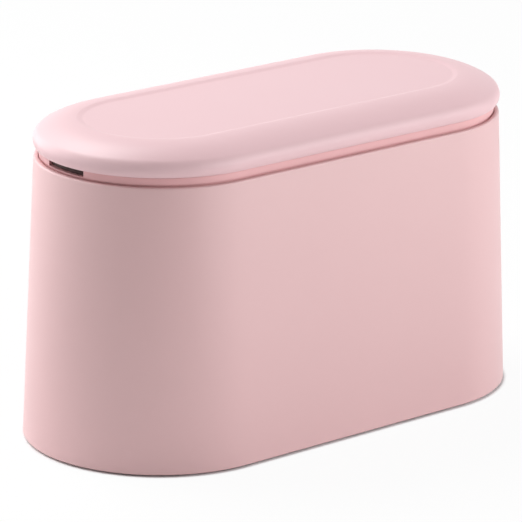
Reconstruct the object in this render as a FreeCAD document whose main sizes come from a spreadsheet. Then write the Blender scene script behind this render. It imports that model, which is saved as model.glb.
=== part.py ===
import FreeCAD, Part
import math
import os
import re

import Sketcher

# Desktop bin: a long round-ended tub with a collar that carries a hinged lid and a push latch.
# Millimetres, +Z up, origin on the table under the middle of the bin.
# +X runs along the bin to the hinge, the button is at the -X end.

SIZES = [
    ("half_straight", 62, "half of the straight run between the round ends"),
    ("rim_radius", 54, "round end of the tub at its rim"),
    ("base_radius", 59.3, "round end of the tub at its foot"),
    ("rim_height", 125, "rim above the table"),
    ("foot_height", 0.8, "foot edge of the tub above the table"),
    ("wall", 2, "wall of the tub"),
    ("rim_bevel", 0.5, "bevel on the rim edges"),
    ("foot_bevel", 0.8, "bevel on the foot edge of the tub"),
    ("fit_gap", 0.3, "clearance between pieces that slide or lift past each other"),
    ("overrun", 1, "how far a cut runs past a face"),
    ("ledge_drop", 3, "collar seat below the rim"),
    ("ledge_reach", 2.5, "collar seat inwards from the wall"),
    ("ledge_thickness", 1.6, "edge thickness of the collar seat"),
    ("floor_seat", 1.4, "height of the snap bead at the foot"),
    ("snap_bead", 0.5, "snap bead inwards from the wall"),
    ("floor_thickness", 2.2, "floor plate"),
    ("floor_stop", 2, "stop above the floor plate inwards from the wall"),
    ("floor_stop_height", 2.4, "height of that stop"),
    ("floor_gap", 0.15, "clearance round and over the floor plate"),
    ("floor_rim_height", 5, "stiffening rim on the floor plate"),
    ("floor_rim_wall", 1.6, "thickness of that rim"),
    ("floor_rib_wall", 1.4, "ribs under the floor plate"),
    ("floor_rib_depth", 1, "depth of those ribs"),
    ("floor_rib_spacing", 20, "step from rib to rib"),
    ("pad_radius", 7, "anti-slip pad"),
    ("pad_recess", 0.8, "how deep a pad sits in the floor plate"),
    ("pad_reach_x", 14, "pads outwards from the end centres"),
    ("pad_reach_y", 31, "pads from the long axis"),
    ("skirt_depth", 12, "collar skirt below its seat"),
    ("collar_wall", 1.6, "wall of the collar skirt"),
    ("flange_thickness", 2, "collar flange on its seat"),
    ("neck_inset", 3.4, "shadow groove inwards from the rim"),
    ("groove_height", 0.7, "shadow groove above the rim"),
    ("band_inset", 2.2, "visible collar band inwards from the rim"),
    ("collar_rise", 6, "collar top above the rim"),
    ("upstand_gap", 0.8, "collar top inside the lid wall"),
    ("upstand_wall", 1.8, "wall of the collar top"),
    ("shelf_depth", 8.6, "collar shelves inwards from the skirt"),
    ("shelf_rise", 1, "collar shelves above the seat"),
    ("shelf_thickness", 3.5, "collar shelves"),
    ("lid_lift", 4.1, "lid edge above the rim"),
    ("lid_gap", 0.4, "lid edge above the collar band"),
    ("lid_overhang", 0.2, "widest place of the lid outwards from the rim"),
    ("lid_bore_inset", 3.2, "lid cavity inwards from the widest place"),
    ("lid_side", 3.8, "lid edge to the widest place"),
    ("lid_wall", 2, "thickness of the lid top"),
    ("lid_foot_bevel", 0.5, "bevel on the lid edge"),
    ("cavity_corner", 7, "sloping corner of the lid cavity, inwards from the wall"),
    ("round_width", 18.7, "rounded lid shoulder, inwards"),
    ("round_height", 8.4, "rounded lid shoulder, upwards"),
    ("edge_radius", 5.2, "tight outer arc of the lid shoulder"),
    ("recess_depth", 1, "recess in the lid top"),
    ("recess_slope", 2, "width of the slope into the recess"),
    ("liner_gap", 0.6, "liner above the collar top"),
    ("liner_thickness", 1.6, "liner plate"),
    ("liner_edge_gap", 0.5, "liner inside the lid wall"),
    ("lip_depth", 3, "liner lip below the plate"),
    ("lip_wall", 1.4, "wall of the liner lip"),
    ("lip_gap", 0.8, "liner lip inside the collar mouth"),
    ("boss_radius", 3.5, "screw boss of the lid"),
    ("boss_reach_x", 9, "screw bosses outwards from the end centres"),
    ("boss_reach_y", 20, "screw bosses from the long axis"),
    ("screw_radius", 1.4, "liner screw shank"),
    ("screw_head_radius", 2.6, "liner screw head"),
    ("screw_head_height", 1.4, "liner screw head"),
    ("screw_length", 5.6, "liner screw shank"),
    ("screw_gap", 0.05, "clearance round a screw"),
    ("hinge_inset", 7.7, "hinge axis inwards from the lid edge"),
    ("hinge_rise", 6.5, "hinge axis above the rim"),
    ("pin_radius", 1.5, "hinge pin"),
    ("pin_press", 0.02, "clearance of the pin in the ears"),
    ("pin_play", 0.08, "clearance of the pin in the knuckles"),
    ("knuckle_radius", 2.8, "hinge knuckles"),
    ("knuckle_inner", 5.2, "knuckle from the middle of the bin"),
    ("knuckle_width", 3, "length of a knuckle"),
    ("ear_width", 2.8, "length of an ear"),
    ("ear_root", 2.8, "ear thickness at the shelf"),
    ("ear_back", 6.9, "ear root inwards from the hinge axis"),
    ("hinge_clear", 1, "room round the swing of the lid"),
    ("swing_sink", 0.6, "floor of that room below the top of the collar flange"),
    ("leaf_root", 2.8, "finger overlap into the liner plate"),
    ("hinge_wire", 0.8, "torsion spring wire"),
    ("hinge_coil_radius", 2.3, "torsion spring, middle of the wire"),
    ("hinge_coil_pitch", 2.6, "torsion spring step for each turn"),
    ("window_half", 11.7, "half width of the button window"),
    ("window_rise", 0.8, "window foot above the foot of the collar band"),
    ("button_inset", 0.5, "button face inside the lid wall"),
    ("button_depth", 3.1, "button face to its back"),
    ("button_bevel", 0.4, "bevel on the button face"),
    ("button_travel", 2, "push of the button"),
    ("frame_half", 7.6, "half width of the button frame"),
    ("frame_rail", 1.6, "rails and bar of the button frame"),
    ("frame_height", 2.4, "height of the button frame"),
    ("stop_half", 13.2, "half width of the button stop"),
    ("stop_wall", 1.4, "thickness of the button stop"),
    ("hook_half", 5, "half width of the lid hook"),
    ("hook_wall", 1.4, "stem of the lid hook"),
    ("hook_clear", 0.4, "room between the pushed stop and the hook"),
    ("hook_reach", 2.1, "barb of the lid hook past its stem"),
    ("hook_gap", 1.1, "stem of the lid hook to the latch bar"),
    ("barb_height", 1.8, "height of the barb"),
    ("barb_face", 0.6, "upright nose of the barb"),
    ("tray_floor", 1.4, "floor of the latch tray"),
    ("tray_wall", 1.4, "walls of the latch tray"),
    ("tray_height", 7.4, "latch tray"),
    ("tray_gap", 0.6, "latch tray to the collar skirt"),
    ("spring_room", 5, "length of the button spring"),
    ("spring_seat", 0.1, "springs to their seats"),
    ("guide_wall", 2, "guides under the button frame"),
    ("peg_radius", 1.1, "peg in the button spring"),
    ("peg_length", 2, "peg in the button spring"),
    ("button_wire", 0.5, "button spring wire"),
    ("button_coil_radius", 1.8, "button spring, middle of the wire"),
    ("ear_tab_radius", 2.3, "screw tab of the latch tray"),
    ("ear_tab_gap", 0.2, "screw head to the tray wall"),
    ("tab_gap", 0.2, "screw tabs to the collar skirt"),
    ("latch_screw_radius", 1, "latch screw shank"),
    ("latch_head_radius", 1.9, "latch screw head"),
    ("latch_head_height", 1.4, "latch screw head"),
    ("latch_screw_length", 4, "latch screw shank"),
]

BUTTON_TURNS = 3
HINGE_TURNS = 3
WIRE_SIDES = 6
QUARTERS_PER_TURN = 4
FOOT_LEG_LEAN = 0.25  # radians, lean of the torsion spring's leg on the shelf
LID_LEG_LEAN = 0.17  # radians, rise of its leg under the liner
SPOTS_PER_QUARTER = 8
EDGE_SPOTS = 5
EDGE_MATCH = 0.0005
FLOOR_RIB_STEPS = (-2, -1, 0, 1, 2)
NECK_ACROSS_SHARE = 0.6
NECK_UP_SHARE = 0.8

BORE_RADIUS = "(rim_radius - wall)"
BASE_BORE = "(base_radius - wall)"
LEDGE_TOP = "(rim_height - ledge_drop)"
LEDGE_FOOT = f"({LEDGE_TOP} - ledge_thickness)"
LEDGE_RADIUS = f"({BORE_RADIUS} - ledge_reach)"
FLOOR_FOOT = "(foot_height + floor_seat)"
FLOOR_TOP = f"({FLOOR_FOOT} + floor_thickness)"
FLOOR_RADIUS = f"({BASE_BORE} - floor_gap)"
STOP_FOOT = f"({FLOOR_TOP} + floor_gap)"
STOP_RADIUS = f"({BASE_BORE} - floor_stop)"
FLOOR_RIM_RADIUS = f"({STOP_RADIUS} - fit_gap)"

SKIRT_RADIUS = f"({LEDGE_RADIUS} - fit_gap)"
COLLAR_BORE = f"({SKIRT_RADIUS} - collar_wall)"
COLLAR_FOOT = f"({LEDGE_TOP} - skirt_depth)"
COLLAR_TOP = "(rim_height + collar_rise)"
FLANGE_RADIUS = f"({BORE_RADIUS} - fit_gap)"
FLANGE_TOP = f"({LEDGE_TOP} + flange_thickness)"
NECK_RADIUS = "(rim_radius - neck_inset)"
BAND_RADIUS = "(rim_radius - band_inset)"
BAND_FOOT = "(rim_height + groove_height)"
LID_FOOT = "(rim_height + lid_lift)"
BAND_TOP = f"({LID_FOOT} - lid_gap)"
LID_RADIUS = "(rim_radius + lid_overhang)"
LID_BORE = f"({LID_RADIUS} - lid_bore_inset)"
UPSTAND_RADIUS = f"({LID_BORE} - upstand_gap)"
MOUTH_RADIUS = f"({UPSTAND_RADIUS} - upstand_wall)"
SHELF_TOP = f"({LEDGE_TOP} + shelf_rise)"
SHELF_FOOT = f"({SHELF_TOP} - shelf_thickness)"

LID_WIDEST = f"({LID_FOOT} + lid_side)"
LID_TOP = f"({LID_WIDEST} + round_height)"
CROWN_RADIUS = "((round_width - edge_radius)^2 + round_height^2 - edge_radius^2)"
CROWN_RADIUS = f"({CROWN_RADIUS} / (2 * (round_height - edge_radius)))"
CROWN_INNER = f"({LID_RADIUS} - round_width)"
PANEL_RADIUS = f"({CROWN_INNER} - recess_slope)"
PANEL_TOP = f"({LID_TOP} - recess_depth)"
PANEL_FOOT = f"({PANEL_TOP} - lid_wall)"
LINER_FOOT = f"({COLLAR_TOP} + liner_gap)"
LINER_TOP = f"({LINER_FOOT} + liner_thickness)"
LINER_RADIUS = f"({LID_BORE} - liner_edge_gap)"
LIP_RADIUS = f"({MOUTH_RADIUS} - lip_gap)"

HINGE_X = f"(half_straight + {LID_RADIUS} - hinge_inset)"
HINGE_Z = "(rim_height + hinge_rise)"
SWING_HALF = f"(sqrt({LID_RADIUS}^2 - ({LID_RADIUS} - hinge_inset)^2) + hinge_clear)"
EAR_INNER = "(knuckle_inner + knuckle_width + fit_gap)"
EAR_OUTER = f"({EAR_INNER} + ear_width)"

BUTTON_RADIUS = f"({LID_BORE} - button_inset)"
BUTTON_HALF = "(window_half - fit_gap)"
BUTTON_FOOT = f"({BAND_FOOT} + window_rise + fit_gap)"
BUTTON_BACK = f"(half_straight + {BUTTON_RADIUS} - button_depth)"
BUTTON_SIDE = f"(half_straight + sqrt({BUTTON_RADIUS}^2 - {BUTTON_HALF}^2))"
STOP_OUTER = f"(half_straight + sqrt({MOUTH_RADIUS}^2 - stop_half^2) - fit_gap)"
STOP_INNER = f"({STOP_OUTER} - stop_wall)"
HOOK_OUTER = f"({STOP_INNER} - button_travel - hook_clear)"
HOOK_INNER = f"({HOOK_OUTER} - hook_wall)"
BAR_OUTER = f"({HOOK_INNER} - hook_gap)"
BAR_INNER = f"({BAR_OUTER} - frame_rail)"
TRAY_END = f"({BAR_INNER} - spring_room)"
TRAY_BACK = f"({TRAY_END} - tray_wall)"
TRAY_INNER = "(stop_half + fit_gap)"
TRAY_HALF = f"({TRAY_INNER} + tray_wall)"
TRAY_START = f"(half_straight + sqrt({COLLAR_BORE}^2 - {TRAY_HALF}^2) - tray_gap)"
TRAY_FLOOR_TOP = f"({SHELF_TOP} + tray_floor)"
FRAME_MIDDLE = f"({BUTTON_FOOT} + frame_height / 2)"
TAB_Y = f"({TRAY_HALF} + ear_tab_gap + latch_head_radius)"
TAB_REACH = f"({COLLAR_BORE} - ear_tab_radius - tab_gap)"
TAB_X = f"(half_straight + sqrt({TAB_REACH}^2 - {TAB_Y}^2))"

document = FreeCAD.newDocument("desktop_bin")
sizes = document.addObject("Spreadsheet::Sheet", "sizes")
for row, (alias, number, note) in enumerate(SIZES, start=1):
    sizes.set(f"A{row}", note)
    sizes.set(f"B{row}", str(number))
    sizes.setAlias(f"B{row}", alias)
document.recompute()
pieces = []


def value(text):
    """The number that a formula in the sheet's words gives."""
    return float(sizes.evalExpression(text))


def bound(text):
    """The same formula, written for an object other than the sheet."""
    words = re.sub(r"[a-z][a-z_]*", lambda word: f"sizes.{word.group()}", text)
    return words.replace("sizes.sqrt", "sqrt")


def bind(target, name, text):
    """Tie a property to a formula."""
    target.setExpression(name, bound(text))


def new_body(label):
    """A body that is one piece of the bin."""
    body = document.addObject("PartDesign::Body", label)
    body.Label = label
    pieces.append(body)
    return body


def origin_plane(body, role):
    """One of a body's own origin planes."""
    return next(item for item in body.Origin.OriginFeatures if item.Role == role)


def new_sketch(body, name, role, offset):
    """A sketch parallel to an origin plane of its body, at an offset along the plane's normal."""
    sketch = body.newObject("Sketcher::SketchObject", name)
    sketch.AttachmentSupport = (origin_plane(body, role), [""])
    sketch.MapMode = "FlatFace"
    bind(sketch, "AttachmentOffset.Base.z", offset)
    return sketch


def fix_place(sketch, edge, end, place):
    """Hold a point of a sketch at a place given by two formulas."""
    for kind, text in zip(("DistanceX", "DistanceY"), place):
        index = sketch.addConstraint(Sketcher.Constraint(kind, -1, 1, edge, end, value(text)))
        bind(sketch, f"Constraints[{index}]", text)


def fix_radius(sketch, edge, text):
    """Hold the radius of a circle or an arc."""
    index = sketch.addConstraint(Sketcher.Constraint("Radius", edge, value(text)))
    bind(sketch, f"Constraints[{index}]", text)


def arc_between(start, end, radius, turn):
    """The short arc from start to end; turn is 1 where it bends to the left and -1 to the right."""
    chord = end - start
    side = FreeCAD.Vector(-chord.y, chord.x, 0).normalize() * turn
    half = chord.Length / 2
    middle = (start + end) * 0.5 - side * (radius - math.sqrt(radius ** 2 - half ** 2))
    return Part.Arc(start, middle, end)


def outline(sketch, corners, arcs=None):
    """A closed outline through corners given by formulas, with arcs on the edges that arcs names."""
    arcs = arcs or {}
    places = [FreeCAD.Vector(value(across), value(up), 0) for across, up in corners]
    first = sketch.GeometryCount
    count = len(corners)
    for number, start in enumerate(places):
        end = places[(number + 1) % count]
        if number in arcs:
            radius, turn = arcs[number]
            sketch.addGeometry(arc_between(start, end, value(radius), turn), False)
        else:
            sketch.addGeometry(Part.LineSegment(start, end), False)
    # An arc that bends to the right is stored from its far end.
    heads = [2 if number in arcs and arcs[number][1] < 0 else 1 for number in range(count)]
    for number, head in enumerate(heads):
        last = (number - 1) % count
        tail = 3 - heads[last]
        join = Sketcher.Constraint("Coincident", first + last, tail, first + number, head)
        sketch.addConstraint(join)
        fix_place(sketch, first + number, head, corners[number])
    for number, (radius, turn) in arcs.items():
        fix_radius(sketch, first + number, radius)


def rectangle(sketch, low_x, high_x, low_y, high_y):
    """A rectangle between four formulas."""
    outline(sketch, [(low_x, low_y), (high_x, low_y), (high_x, high_y), (low_x, high_y)])


def circle(sketch, place, radius):
    """A circle about a place."""
    centre = FreeCAD.Vector(value(place[0]), value(place[1]), 0)
    edge = sketch.addGeometry(Part.Circle(centre, FreeCAD.Vector(0, 0, 1), value(radius)), False)
    fix_place(sketch, edge, 3, place)
    fix_radius(sketch, edge, radius)


def stadium(sketch, radius):
    """A round-ended outline with the bin's straight run."""
    corners = [
        ("half_straight", radius),
        ("-half_straight", radius),
        ("-half_straight", f"-{radius}"),
        ("half_straight", f"-{radius}"),
    ]
    half_turns = []
    first = sketch.GeometryCount
    reach, half = value(radius), value("half_straight")
    for sign in (-1, 1):
        end = Part.Circle(FreeCAD.Vector(sign * half, 0, 0), FreeCAD.Vector(0, 0, 1), reach)
        start_angle = -sign * math.pi / 2
        half_turns.append(Part.ArcOfCircle(end, start_angle, start_angle + math.pi))
    places = [FreeCAD.Vector(value(across), value(up), 0) for across, up in corners]
    sketch.addGeometry(Part.LineSegment(places[0], places[1]), False)
    sketch.addGeometry(half_turns[0], False)
    sketch.addGeometry(Part.LineSegment(places[2], places[3]), False)
    sketch.addGeometry(half_turns[1], False)
    for number in range(len(corners)):
        following = first + (number + 1) % len(corners)
        sketch.addConstraint(Sketcher.Constraint("Tangent", first + number, 2, following, 1))
    fix_place(sketch, first + 1, 3, ("-half_straight", "0"))
    fix_place(sketch, first + 3, 3, ("half_straight", "0"))
    fix_radius(sketch, first + 1, radius)


def feature(body, kind, name, sketch):
    """A solid feature made from a sketch."""
    made = body.newObject(f"PartDesign::{kind}", name)
    made.Profile = sketch
    sketch.Visibility = False
    return made


def pad(body, name, sketch, length, symmetric=False, reverse=False):
    """Material along the sketch's normal, from one side or half to each."""
    made = feature(body, "Pad", name, sketch)
    bind(made, "Length", length)
    made.SideType = "Symmetric" if symmetric else "One side"
    made.Reversed = reverse
    document.recompute()
    return made


def pocket(body, name, sketch, length, symmetric=False, reverse=False):
    """A cut against the sketch's normal, or along it, that has to take material away."""
    before = body.Shape.Volume
    made = feature(body, "Pocket", name, sketch)
    bind(made, "Length", length)
    made.SideType = "Symmetric" if symmetric else "One side"
    made.Reversed = reverse
    document.recompute()
    if body.Shape.Volume >= before:
        raise RuntimeError(f"{name} cuts nothing")
    return made


def mirror(body, name, features, role):
    """The same features on the other side of an origin plane."""
    copy = body.newObject("PartDesign::Mirrored", name)
    copy.Originals = features
    copy.MirrorPlane = (origin_plane(body, role), [""])
    body.Tip = copy
    document.recompute()


def swept(body, name, corners, arcs=None):
    """A section of radius and height carried once round the bin's round-ended path."""
    path = new_sketch(body, f"{name}_path", "XY_Plane", "0")
    stadium(path, "rim_radius")
    section = new_sketch(body, f"{name}_section", "YZ_Plane", "half_straight")
    outline(section, corners, arcs)
    document.recompute()
    made = feature(body, "AdditivePipe", name, section)
    made.Spine = (path, [])
    path.Visibility = False
    document.recompute()


def flat_stadium(body, name, radius, height, thickness):
    """A round-ended plate from a height upwards."""
    sketch = new_sketch(body, f"{name}_sketch", "XY_Plane", height)
    stadium(sketch, radius)
    return pad(body, name, sketch, thickness)


def ring_edges(body, radius, height):
    """Names of the edges that run round the bin at a radius and a height."""
    reach, level, half = value(radius), value(height), value("half_straight")
    names = []
    for number, edge in enumerate(body.Shape.Edges, start=1):
        points = edge.discretize(EDGE_SPOTS)
        level_there = max(abs(point.z - level) for point in points)
        off = [math.hypot(max(abs(point.x) - half, 0), point.y) - reach for point in points]
        if max(level_there, max(abs(gap) for gap in off)) < EDGE_MATCH:
            names.append(f"Edge{number}")
    return names


def bevel_edges(body, name, places, size):
    """Bevel the edges that run round the bin at the given places."""
    names = [edge for place in places for edge in ring_edges(body, *place)]
    made = body.newObject("PartDesign::Chamfer", name)
    made.Base = (made.BaseFeature, names)
    bind(made, "Size", size)
    document.recompute()


def cylinder(name, radius, height, place, foot):
    """A round post from a foot height upwards."""
    post = document.addObject("Part::Cylinder", name)
    bind(post, "Radius", radius)
    bind(post, "Height", height)
    bind(post, "Placement.Base.x", place[0])
    bind(post, "Placement.Base.y", place[1])
    bind(post, "Placement.Base.z", foot)
    return post


def group(label, members):
    """Like pieces that share one node."""
    made = document.addObject("Part::Compound", label)
    made.Label = label
    made.Links = members
    pieces.append(made)


def screws(label, places, shank_radius, shank_length, head_radius, head_height, seat, head_up):
    """Upright screws with round heads on a seat, their heads above or below it."""
    members = []
    for number, place in enumerate(places):
        head_foot = seat if head_up else f"{seat} - {head_height}"
        shank_foot = f"{seat} - {shank_length}" if head_up else seat
        head = cylinder(f"{label}_head_{number}", head_radius, head_height, place, head_foot)
        shank = cylinder(f"{label}_shank_{number}", shank_radius, shank_length, place, shank_foot)
        screw = document.addObject("Part::MultiFuse", f"{label}_{number}")
        screw.Shapes = [head, shank]
        members.append(screw)
    group(label, members)


def corners_of(reach_x, reach_y):
    """Four places, one in each quarter."""
    return [(f"{sign_x} * {reach_x}", f"{sign_y} * {reach_y}") for sign_x in (-1, 1) for sign_y in (-1, 1)]


def biarc(start, start_way, end, end_way):
    """Two arcs that leave start and reach end along given directions, with one tangent between them."""
    chord = end - start
    ways = start_way + end_way
    spread = 2 * (1 - start_way.dot(end_way))
    along = chord.dot(ways)
    reach = (math.sqrt(along ** 2 + spread * chord.dot(chord)) - along) / spread
    first_corner = start + start_way * reach
    second_corner = end - end_way * reach
    joint = (first_corner + second_corner) * 0.5
    return [tangent_arc(start, first_corner, joint), tangent_arc(joint, second_corner, end)]


def tangent_arc(start, corner, end):
    """The arc that touches both legs of a corner."""
    middle = (start + end) * 0.5
    half = (end - start).Length / 2
    rise = (corner - middle).Length
    angle = math.atan2(rise, half)
    top = middle + (corner - middle) * (math.tan(angle / 2) / math.tan(angle))
    return Part.Arc(start, top, end).toShape()


def wire_section(edge, wire):
    """The wire at the start of an edge, with few flat sides so that a coil stays light."""
    middle = edge.valueAt(edge.FirstParameter)
    way = edge.tangentAt(edge.FirstParameter)
    aside = way.cross(FreeCAD.Vector(0, 1, 0)).normalize() * (wire / 2)
    turn = 360 / WIRE_SIDES
    spots = [middle + FreeCAD.Rotation(way, turn * side).multVec(aside) for side in range(WIRE_SIDES)]
    return Part.makePolygon(spots + spots[:1])


def wound(label, place_at, way_at, quarters, wire, tails):
    """A wire along quarter turns, with straight tails, as one unbroken tube."""
    edges = []
    for number in range(quarters):
        here, there = number / quarters, (number + 1) / quarters
        edges += biarc(place_at(here), way_at(here), place_at(there), way_at(there))
    start, end = place_at(0), place_at(1)
    if tails[0]:
        edges.insert(0, Part.LineSegment(start - way_at(0) * tails[0], start).toShape())
    if tails[1]:
        edges.append(Part.LineSegment(end, end + way_at(1) * tails[1]).toShape())
    path = Part.Wire(edges)
    section = wire_section(edges[0], wire)
    tube = path.makePipeShell([section], True, False)
    spots = path.discretize(quarters * SPOTS_PER_QUARTER)
    apart = SPOTS_PER_QUARTER * 2
    nearest = min(
        (spot - other).Length for number, spot in enumerate(spots) for other in spots[number + apart:]
    )
    print(f"{label}: gap to itself {nearest - wire:.2f}, volume {tube.Volume:.2f}, "
          f"section times length {Part.Face(section).Area * path.Length:.2f}")
    made = document.addObject("Part::Feature", label)
    made.Label = label
    made.Shape = tube
    made.Placement = FreeCAD.Placement()
    pieces.append(made)


# Tub
tub = new_body("outer_shell")
swept(tub, "tub_wall", [
    ("base_radius - foot_bevel", "foot_height"),
    ("base_radius", "foot_height + foot_bevel"),
    ("rim_radius", "rim_height - rim_bevel"),
    ("rim_radius - rim_bevel", "rim_height"),
    (f"{BORE_RADIUS} + rim_bevel", "rim_height"),
    (BORE_RADIUS, "rim_height - rim_bevel"),
    (BORE_RADIUS, LEDGE_TOP),
    (LEDGE_RADIUS, LEDGE_TOP),
    (LEDGE_RADIUS, LEDGE_FOOT),
    (BORE_RADIUS, f"{LEDGE_FOOT} - ledge_reach"),
    (BASE_BORE, f"{STOP_FOOT} + floor_stop_height + floor_stop"),
    (STOP_RADIUS, f"{STOP_FOOT} + floor_stop_height"),
    (STOP_RADIUS, STOP_FOOT),
    (BASE_BORE, STOP_FOOT),
    (BASE_BORE, FLOOR_FOOT),
    (f"{BASE_BORE} - snap_bead", f"{FLOOR_FOOT} - snap_bead"),
    (BASE_BORE, "foot_height"),
])

# Floor of the tub
floor = new_body("base_plate")
flat_stadium(floor, "floor_plate", FLOOR_RADIUS, FLOOR_FOOT, "floor_thickness")
floor_rim = new_sketch(floor, "floor_rim_sketch", "XY_Plane", FLOOR_TOP)
stadium(floor_rim, FLOOR_RIM_RADIUS)
stadium(floor_rim, f"({FLOOR_RIM_RADIUS} - floor_rim_wall)")
pad(floor, "floor_rim", floor_rim, "floor_rim_height")
floor_ribs = new_sketch(floor, "floor_ribs_sketch", "XY_Plane", FLOOR_FOOT)
for step in FLOOR_RIB_STEPS:
    middle = f"{step} * floor_rib_spacing"
    rectangle(floor_ribs, f"{middle} - floor_rib_wall / 2", f"{middle} + floor_rib_wall / 2",
              f"-{FLOOR_RIM_RADIUS}", FLOOR_RIM_RADIUS)
pad(floor, "floor_ribs", floor_ribs, "floor_rib_depth", reverse=True)
PAD_PLACES = corners_of("(half_straight + pad_reach_x)", "pad_reach_y")
pad_seats = new_sketch(floor, "pad_seats_sketch", "XY_Plane", FLOOR_FOOT)
for place in PAD_PLACES:
    circle(pad_seats, place, "(pad_radius + floor_gap)")
pocket(floor, "pad_seats", pad_seats, "pad_recess", reverse=True)
group("foot_pads", [
    cylinder(f"foot_pad_{number}", "pad_radius", f"{FLOOR_FOOT} + pad_recess", place, "0")
    for number, place in enumerate(PAD_PLACES)
])

# Collar that sits in the rim and carries lid and latch
collar = new_body("collar_ring")
swept(collar, "collar_wall", [
    (SKIRT_RADIUS, COLLAR_FOOT),
    (SKIRT_RADIUS, LEDGE_TOP),
    (FLANGE_RADIUS, LEDGE_TOP),
    (FLANGE_RADIUS, FLANGE_TOP),
    (NECK_RADIUS, FLANGE_TOP),
    (NECK_RADIUS, BAND_FOOT),
    (BAND_RADIUS, BAND_FOOT),
    (BAND_RADIUS, BAND_TOP),
    (UPSTAND_RADIUS, BAND_TOP),
    (UPSTAND_RADIUS, COLLAR_TOP),
    (MOUTH_RADIUS, COLLAR_TOP),
    (MOUTH_RADIUS, BAND_FOOT),
    (COLLAR_BORE, FLANGE_TOP),
    (COLLAR_BORE, COLLAR_FOOT),
])
shelves = new_sketch(collar, "shelves_sketch", "XY_Plane", SHELF_FOOT)
SHELF_RADIUS = f"({COLLAR_BORE} + collar_wall / 2)"
SHELF_CHORD = f"({COLLAR_BORE} - shelf_depth)"
SHELF_X = f"(half_straight + {SHELF_CHORD})"
SHELF_HALF = f"sqrt({SHELF_RADIUS}^2 - {SHELF_CHORD}^2)"
outline(shelves, [(SHELF_X, f"-{SHELF_HALF}"), (SHELF_X, SHELF_HALF)], {0: (SHELF_RADIUS, 1)})
outline(shelves, [(f"-{SHELF_X}", SHELF_HALF), (f"-{SHELF_X}", f"-{SHELF_HALF}")], {0: (SHELF_RADIUS, 1)})
pad(collar, "shelves", shelves, "shelf_thickness")
window = new_sketch(collar, "window_sketch", "XY_Plane", COLLAR_TOP)
rectangle(window, "-(half_straight + rim_radius)", f"-{SHELF_X}", "-window_half", "window_half")
pocket(collar, "window", window, f"{COLLAR_TOP} - {BAND_FOOT} - window_rise")
swing = new_sketch(collar, "swing_sketch", "XY_Plane", COLLAR_TOP)
rectangle(swing, SHELF_X, "(half_straight + rim_radius)", f"-{SWING_HALF}", SWING_HALF)
pocket(collar, "swing_room", swing, f"{COLLAR_TOP} - {FLANGE_TOP} + swing_sink")
EAR_MIDDLE = f"{EAR_INNER} + ear_width / 2"
EAR_ROOT = f"({HINGE_X} - ear_back)"
NECK_X = f"({HINGE_X} - {NECK_ACROSS_SHARE} * knuckle_radius)"
ear = new_sketch(collar, "ear_sketch", "XZ_Plane", EAR_MIDDLE)
outline(ear, [
    (EAR_ROOT, SHELF_FOOT),
    (f"{EAR_ROOT} + ear_root", SHELF_FOOT),
    (f"{EAR_ROOT} + ear_root", SHELF_TOP),
    (NECK_X, f"{HINGE_Z} - {NECK_UP_SHARE} * knuckle_radius"),
    (NECK_X, f"{HINGE_Z} + {NECK_UP_SHARE} * knuckle_radius"),
    (EAR_ROOT, f"{HINGE_Z} - knuckle_radius"),
])
ear_arm = pad(collar, "ear", ear, "ear_width", symmetric=True)
ear_eye = new_sketch(collar, "ear_eye_sketch", "XZ_Plane", EAR_MIDDLE)
circle(ear_eye, (HINGE_X, HINGE_Z), "knuckle_radius")
ear_head = pad(collar, "ear_eye", ear_eye, "ear_width", symmetric=True)
mirror(collar, "other_ear", [ear_arm, ear_head], "XZ_Plane")
ear_bore = new_sketch(collar, "ear_bore_sketch", "XZ_Plane", "0")
circle(ear_bore, (HINGE_X, HINGE_Z), "(pin_radius + pin_press)")
pocket(collar, "ear_bore", ear_bore, f"2 * ({EAR_OUTER} + overrun)", symmetric=True)
TAB_PLACES = [(f"-{TAB_X}", f"-{TAB_Y}"), (f"-{TAB_X}", TAB_Y)]
tab_holes = new_sketch(collar, "tab_holes_sketch", "XY_Plane", SHELF_TOP)
for place in TAB_PLACES:
    circle(tab_holes, place, "(latch_screw_radius + screw_gap)")
pocket(collar, "tab_holes", tab_holes, "shelf_thickness + overrun")

# Hinge pin and torsion spring
pin = cylinder("hinge_pin", "pin_radius", f"2 * {EAR_OUTER}", (HINGE_X, EAR_OUTER), HINGE_Z)
pin.Placement.Rotation = FreeCAD.Rotation(FreeCAD.Vector(1, 0, 0), 90)
pin.Label = "hinge_pin"
pieces.append(pin)

hinge_length = value("hinge_coil_pitch") * HINGE_TURNS
hinge_reach = value("hinge_coil_radius")
hinge_start = math.pi - FOOT_LEG_LEAN
hinge_sweep = 2 * math.pi * HINGE_TURNS - math.pi / 2 - FOOT_LEG_LEAN + LID_LEG_LEAN
hinge_rate = math.atan2(hinge_length, hinge_sweep * hinge_reach)


def hinge_place(share):
    """A place along the torsion spring's coil."""
    angle = hinge_start - share * hinge_sweep
    across = value(HINGE_X) + hinge_reach * math.cos(angle)
    up = value(HINGE_Z) + hinge_reach * math.sin(angle)
    return FreeCAD.Vector(across, (share - 0.5) * hinge_length, up)


def hinge_way(share):
    """The direction of the wire there."""
    angle = hinge_start - share * hinge_sweep
    flat = math.cos(hinge_rate)
    return FreeCAD.Vector(math.sin(angle) * flat, math.sin(hinge_rate), -math.cos(angle) * flat)


hinge_drop = hinge_place(0).z - value(f"{SHELF_TOP} + hinge_wire / 2 + spring_seat")
hinge_drop = hinge_drop / hinge_way(0).z
hinge_leg = value("ear_back + leaf_root")
wound("hinge_spring", hinge_place, hinge_way, QUARTERS_PER_TURN * HINGE_TURNS,
      value("hinge_wire"), (hinge_drop, hinge_leg))

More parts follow.
